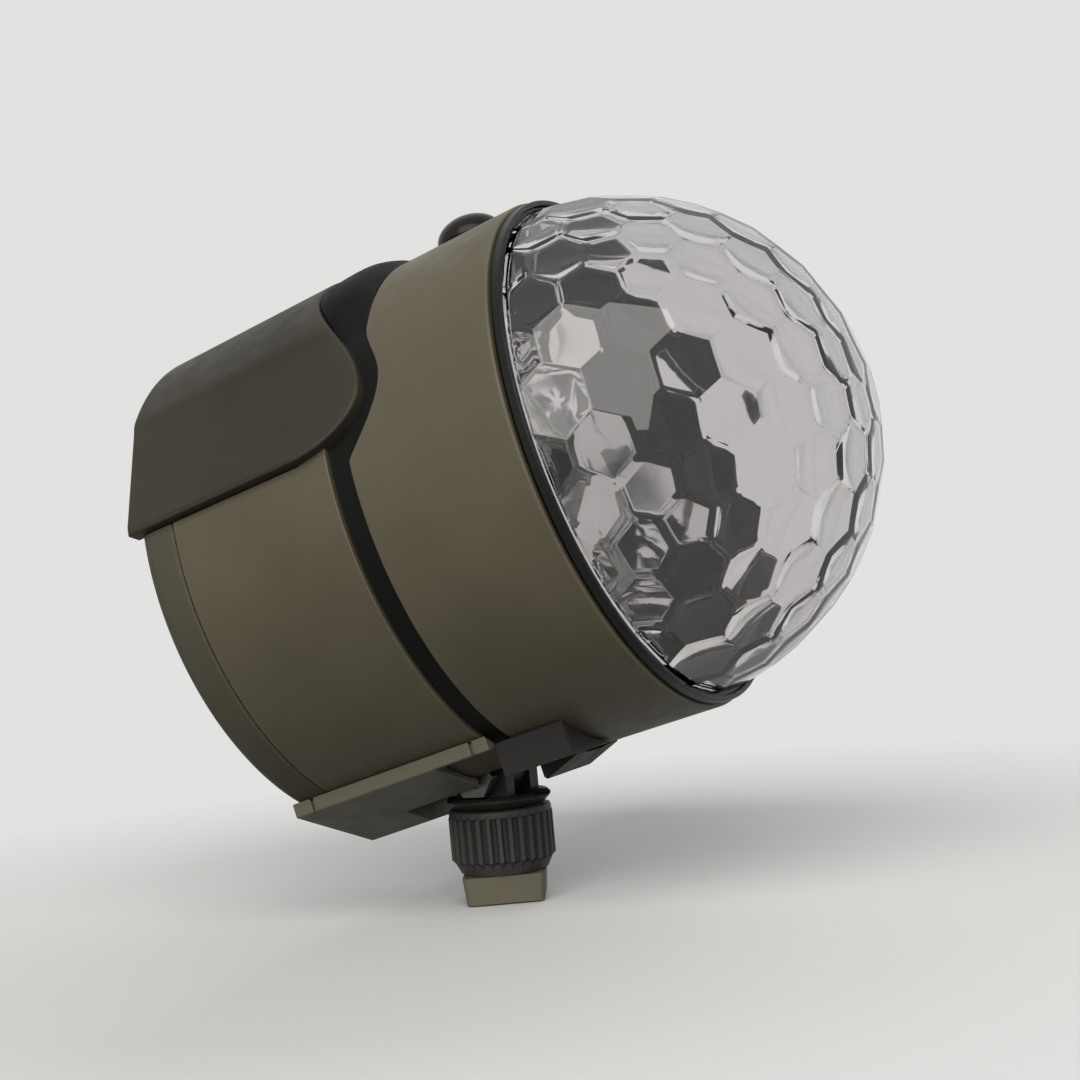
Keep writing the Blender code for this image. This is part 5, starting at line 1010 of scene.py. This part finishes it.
def worn_and_highlit_edges(tree, flat):
    """A mask of the edges that are made lighter, as rubbed wear and as a painted highlight along
    them: from the mesh's pointiness or, for a flat face of long triangles, from a rounded normal."""
    geometry = add(tree, "ShaderNodeNewGeometry")
    if not flat:
        return ramp(tree, geometry, "Pointiness", [(0.506, 0.0), (0.540, EDGE_WEAR_AND_HIGHLIGHT_SHARE)])
    rounded = add(tree, "ShaderNodeBevel", samples=4)
    rounded.inputs["Radius"].default_value = EDGE_WEAR_AND_HIGHLIGHT_REACH
    match = add(tree, "ShaderNodeVectorMath", [(0, rounded, "Normal"), (1, geometry, "Normal")],
                operation="DOT_PRODUCT")
    return ramp(tree, match, "Value", [(0.90, EDGE_WEAR_AND_HIGHLIGHT_SHARE), (0.99, 0.0)])


def moulded(name, colour, lighter, roughness, grain=1300.0, depth=0.00005, specular=0.16,
            wear_and_highlight=1.5, flat=False):
    """Moulded plastic: spark-eroded grain, a cloudy tone, edges a little lighter as rubbed wear and
    as a painted highlight, and patches where handling has polished it."""
    made, tree, shader = material(name)
    coords = coordinates(tree)
    cloud = noise(tree, coords, 42.0, detail=4.0)
    tone = ramp(tree, cloud, "Fac", [(0.30, colour), (0.72, lighter)])
    # The edges' lighter colour is part wear and part painted highlight
    wear_and_highlight_colour = tuple(min(1.0, value * wear_and_highlight) for value in lighter)
    mixed(tree, worn_and_highlit_edges(tree, flat), "Color", tone, wear_and_highlight_colour, shader)
    rub = noise(tree, coords, 190.0, detail=5.0, roughness=0.6)
    gloss = ramp(tree, rub, "Fac", [(0.32, roughness - 0.07), (0.70, roughness + 0.08)])
    link(tree, gloss, "Color", shader, "Roughness")
    fine = noise(tree, coords, grain, detail=2.0)
    first = bump(tree, shader, fine, 0.60, depth)
    wave = noise(tree, coords, 60.0, detail=2.0)
    bump(tree, shader, wave, strength=0.08, distance=0.0004, before=first)
    shader.inputs["IOR"].default_value = PLASTIC_IOR
    shader.inputs["Specular IOR Level"].default_value = specular
    return made


def metal(name, colour, roughness, brushed=600.0, depth=0.00002):
    """Turned or pressed metal with fine smears."""
    made, tree, shader = material(name)
    coords = coordinates(tree)
    smear = noise(tree, coords, brushed)
    tone = ramp(tree, smear, "Fac", [(0.3, tuple(c * 0.82 for c in colour)), (0.7, colour)])
    link(tree, tone, "Color", shader, "Base Color")
    gloss = ramp(tree, smear, "Fac", [(0.3, roughness - 0.05), (0.7, roughness + 0.08)])
    link(tree, gloss, "Color", shader, "Roughness")
    shader.inputs["Metallic"].default_value = 1.0
    bump(tree, shader, smear, 0.2, depth)
    return made


def crinkled(name, colour=(0.86, 0.85, 0.86), cells=800.0, depth=0.0006, metallic=0.9):
    """Crinkled silver foil: small tilted flats, with a painted highlight that lightens the creases
    between them.
    """
    made, tree, shader = material(name)
    coords = coordinates(tree)
    warp = noise(tree, coords, 160.0, detail=2.0)
    bent = add(tree, "ShaderNodeMix", data_type="VECTOR")
    bent.inputs["Factor"].default_value = 0.004
    link(tree, coords, "Object", bent, "A")
    link(tree, warp, "Color", bent, "B")
    flats = add(tree, "ShaderNodeTexVoronoi", [("Vector", bent, "Result")], feature="F1")
    flats.inputs["Scale"].default_value = cells
    # Painted highlight: the colour lightens towards the creases between the flats
    tone = ramp(tree, flats, "Distance", [(0.0, tuple(c * 0.9 for c in colour)), (0.9, colour)])
    link(tree, tone, "Color", shader, "Base Color")
    shader.inputs["Metallic"].default_value = metallic
    streak = noise(tree, coords, 500.0)
    gloss = ramp(tree, streak, "Fac", [(0.3, 0.10), (0.7, 0.24)])
    link(tree, gloss, "Color", shader, "Roughness")
    bump(tree, shader, flats, 0.8, depth, output="Distance")
    return made


def clear(name, tint, roughness, ripple=0.0, scale=0.0):
    """Clear plastic, with faint haze and, where asked, a slow ripple from its mould."""
    made, tree, shader = material(name)
    coords = coordinates(tree)
    haze = noise(tree, coords, 150.0)
    tone = ramp(tree, haze, "Fac", [(0.3, tint), (0.75, tuple(c * 0.97 for c in tint))])
    link(tree, tone, "Color", shader, "Base Color")
    shader.inputs["Transmission Weight"].default_value = 1.0
    shader.inputs["IOR"].default_value = CLEAR_IOR
    gloss = ramp(tree, haze, "Fac", [(0.35, roughness), (0.75, roughness + 0.02)])
    link(tree, gloss, "Color", shader, "Roughness")
    if ripple:
        wave = noise(tree, coords, scale, detail=2.0)
        bump(tree, shader, wave, 0.5, ripple)
    return made


def paint(name, made):
    nodes[name].data.materials.clear()
    nodes[name].data.materials.append(made)


shell = moulded("shell_plastic", (0.072, 0.064, 0.042), (0.092, 0.082, 0.055), 0.48, specular=0.22)
# The cap is the body's olive plastic made darker as painted shade at the lamp's back end
cap = moulded("cap_plastic_painted_shade", (0.055, 0.050, 0.036), (0.070, 0.064, 0.046), 0.56,
              flat=True)
# The cover is the body's olive plastic darkened all over as painted shade, to match its shaded flanks
cover = moulded("cover_plastic_painted_shade", (0.027, 0.0245, 0.018), (0.036, 0.0325, 0.024), 0.52)
# The keel is the body's olive plastic made lighter as painted light from below
keel = moulded("keel_plastic_painted_light", (0.080, 0.075, 0.056), (0.100, 0.094, 0.070), 0.46)
pad = moulded("pad_plastic_finish", (0.012, 0.012, 0.011), (0.018, 0.017, 0.016), 0.50)
stem = moulded("joint_plastic_finish", (0.012, 0.012, 0.011), (0.019, 0.018, 0.017), 0.46)
grip = moulded("collar_plastic_finish", (0.022, 0.021, 0.020), (0.034, 0.032, 0.030), 0.50, wear_and_highlight=2.2)
# The socket's lighter tone is painted light from below
socket = moulded("socket_plastic_painted_light", (0.088, 0.082, 0.060), (0.110, 0.102, 0.075), 0.48)
black = moulded("ring_plastic_finish", (0.006, 0.006, 0.006), (0.010, 0.010, 0.010), 0.34)
bowl = moulded("bowl_black_finish", (0.005, 0.005, 0.005), (0.008, 0.008, 0.008), 0.30, specular=0.08)
rubber = moulded("seal_rubber_finish", (0.004, 0.004, 0.004), (0.007, 0.007, 0.007), 0.60,
                 grain=2400.0, specular=0.08)
window = moulded("window_finish", (0.008, 0.006, 0.007), (0.012, 0.008, 0.010), 0.26,
                 grain=3000.0, depth=0.000004)
steel = metal("screw_steel_finish", (0.42, 0.42, 0.43), 0.34)
dark_steel = metal("bolt_steel_finish", (0.10, 0.10, 0.10), 0.40)
brass = metal("inlet_nut_finish", (0.62, 0.50, 0.24), 0.34)
plate = metal("heat_plate_finish", (0.76, 0.76, 0.77), 0.36)
can = metal("motor_finish", (0.55, 0.55, 0.56), 0.32)
silver = crinkled("reflector_finish")
plated = crinkled("spoke_finish", (0.80, 0.79, 0.78), 300.0, 0.0004)
foil = crinkled("led_board_finish", (0.92, 0.91, 0.88), 700.0, 0.0006, 0.6)
green = moulded("driver_board_finish", (0.03, 0.17, 0.07), (0.05, 0.22, 0.09), 0.42)
dome_outer = clear("dome_clear_finish", (0.82, 0.805, 0.805), 0.0)
dome_inner = clear("dome_inner_finish", (0.82, 0.805, 0.805), 0.02)
lens = clear("lens_clear_finish", (0.97, 0.97, 0.97), 0.10, 0.0006, 420.0)

# The body's pieces
piece("front_shell", front_shell(), shell, slot="front_plastic")
piece("rear_shell", rear_shell(), shell, slot="rear_plastic")
piece("rear_cap", rear_cap(), cap, slot="cap_plastic")
piece("top_cover", top_cover(), cover, slot="cover_plastic")
piece("seal_band", seal_band(), rubber, slot="seal_rubber")
piece("receiver_window", receiver_window(), window, slot="window_plastic")
piece("power_inlet", power_inlet(), black, slot="inlet_plastic")
for k, place in enumerate(quarter_places(SCREW_CIRCLE)):
    piece(f"rear_screw_{k + 1}", back_screw(*place), steel, slot="screw_steel")
dressed("bottom_cover", keel, "keel_plastic")
piece("cross_pad", cross_pad(), pad, slot="pad_plastic", bevel=FINE_EDGE)
dressed("joint_bracket", pad, "bracket_plastic")
for k in (1, 2):
    for name, sunk in ((f"pad_screw_{k}", SUNK_HEAD_DEPTH), (f"bracket_screw_{k}", 0.0)):
        piece(name, upright_screw(name, sunk), dark_steel, slot="screw_steel")

# The joint's pieces
dressed("swivel_stem", stem, "joint_plastic")
dressed("tilt_bolt", dark_steel, "bolt_steel", FINE_EDGE / 2)
dressed("tilt_nut", dark_steel, "nut_steel", FINE_EDGE / 2)
dressed("socket_base", socket, "socket_plastic")
piece("lock_collar", lock_collar(), grip, slot="collar_plastic", lamp=False)

# The dome and the light in it
piece("crystal_dome", crystal_dome(), dome_outer, dome_inner, slot="dome_clear", smooth=False)
piece("dome_carrier", dome_carrier(), black, plated, slot="carrier_black")
piece("reflector", reflector(), silver, bowl, slot="reflector_silver", smooth=False)
led_colours = ((0.75, 0.08, 0.08), (0.08, 0.62, 0.14), (0.10, 0.16, 0.80), (0.82, 0.78, 0.62))
for k, (tint, place) in enumerate(zip(led_colours, quarter_places(LED_CIRCLE))):
    made = moulded(f"led_{k + 1}_finish", tint, tuple(min(1, c * 1.15) for c in tint), 0.25)
    paint(f"led_{k + 1}", made)
    piece(f"led_lens_{k + 1}", moved(led_lens(), (0, *place)), lens, slot="lens_clear")
for name in ("hub_screw", "drive_shaft", "motor_screw_1", "motor_screw_2", "board_screw_1",
             "board_screw_2"):
    paint(name, steel)
paint("signal_sensor", black)
paint("inlet_nut", brass)
paint("heat_plate", plate)
paint("led_board", foil)
paint("gear_motor", can)
paint("control_board", green)


# The floor, the light and the camera
def maths(tree, operation, *sources):
    """A maths node whose inputs come from (node, output)."""
    inputs = [(k, *source) for k, source in enumerate(sources)]
    return add(tree, "ShaderNodeMath", inputs, operation=operation)


def seen_directly(tree, path):
    """1 for the rays that show the background itself, straight or through glass or gloss."""
    shown = maths(tree, "MAXIMUM", (path, "Is Camera Ray"), (path, "Is Glossy Ray"))
    shown = maths(tree, "MAXIMUM", (shown, 0), (path, "Is Transmission Ray"))
    straight = maths(tree, "LESS_THAN", (path, "Diffuse Depth"))
    straight.inputs[1].default_value = 0.5
    return maths(tree, "MULTIPLY", (shown, 0), (straight, 0))


def send_out(tree, factor, one, two, target):
    """Send one shader out or, where the factor is 1, the other."""
    mix = add(tree, "ShaderNodeMixShader", [("Fac", factor, 0), (1, one, 0), (2, two, 0)])
    link(tree, mix, "Shader", tree.nodes[target], "Surface")


def make_floor():
    """A wide pale floor that keeps the shadow and fades into the background's own tone."""
    size, fade_start, fade_end = 6.0, 0.10, 0.22
    shown_tone, bounced_tone = (0.68, 0.68, 0.675), (0.12, 0.12, 0.12)
    mesh = bpy.data.meshes.new("floor")
    mesh.from_pydata([(-size, -size, 0), (size, -size, 0), (size, size, 0), (-size, size, 0)], [],
                     [(0, 1, 2, 3)])
    floor = placed("floor", mesh)
    floor.location.z = -FIT_GAP
    made, tree, shader = material("floor_finish")
    shader.inputs["Roughness"].default_value = 0.9
    path = add(tree, "ShaderNodeLightPath")
    mixed(tree, path, "Is Diffuse Ray", shown_tone, bounced_tone, shader)
    reach = add(tree, "ShaderNodeVectorMath", [(0, coordinates(tree), "Object")],
                operation="LENGTH")
    fade = ramp(tree, reach, "Value", [(fade_start, 0.0), (fade_end, 1.0)])
    share = maths(tree, "MULTIPLY", (fade, "Color"), (seen_directly(tree, path), 0))
    glow = add(tree, "ShaderNodeEmission")
    glow.inputs["Color"].default_value = PALE
    send_out(tree, share, shader, glow, "Material Output")
    mesh.materials.append(made)


def make_world():
    """A soft grey light all round, which shows as an even pale background."""
    world = bpy.data.worlds.new("studio")
    world.use_nodes = True
    tree = world.node_tree
    light = tree.nodes["Background"]
    light.inputs["Color"].default_value = (0.94, 0.96, 1.0, 1)
    light.inputs["Strength"].default_value = 0.20
    shown = add(tree, "ShaderNodeBackground")
    shown.inputs["Color"].default_value = PALE
    seen = seen_directly(tree, add(tree, "ShaderNodeLightPath"))
    send_out(tree, seen, light, shown, "World Output")
    bpy.context.scene.world = world


def area_light(name, place, size, power, colour=(1, 1, 1), mirrored=False):
    """A soft box that shines on the lamp. Clear pieces don't show it, and only a mirrored one
    shows in gloss."""
    data = bpy.data.lights.new(name, "AREA")
    data.shape = "RECTANGLE"
    data.size, data.size_y = size
    data.energy = power
    data.color = colour
    lamp = placed(name, data)
    lamp.location = place
    lamp.rotation_mode = "QUATERNION"
    lamp.rotation_quaternion = (LIT_PLACE - Vector(place)).to_track_quat("-Z", "Y")
    lamp.visible_transmission = False
    lamp.visible_glossy = mirrored


def make_camera():
    data = bpy.data.cameras.new("camera")
    data.sensor_width = SENSOR
    data.lens = SENSOR * FOCAL_PIXELS / FRAME_PIXELS
    data.clip_start, data.clip_end = 0.01, 50
    camera = placed("camera", data)
    camera.location = CAMERA_PLACE
    camera.rotation_mode = "QUATERNION"
    aim = (AIM - CAMERA_PLACE).to_track_quat("-Z", "Y")
    camera.rotation_quaternion = aim @ Matrix.Rotation(-CAMERA_ROLL, 3, "Z").to_quaternion()
    bpy.context.scene.camera = camera


make_floor()
make_world()
area_light("key_light", (0.25, -0.98, 0.76), (1.3, 1.2), 20.0, WARM, mirrored=True)
area_light("fill_light", (0.85, -0.45, 0.45), (0.9, 0.9), 0.8)
area_light("back_light", (0.05, 0.95, 0.75), (1.2, 0.9), 7.0)
make_camera()
bpy.context.scene.view_settings.view_transform = "Standard"
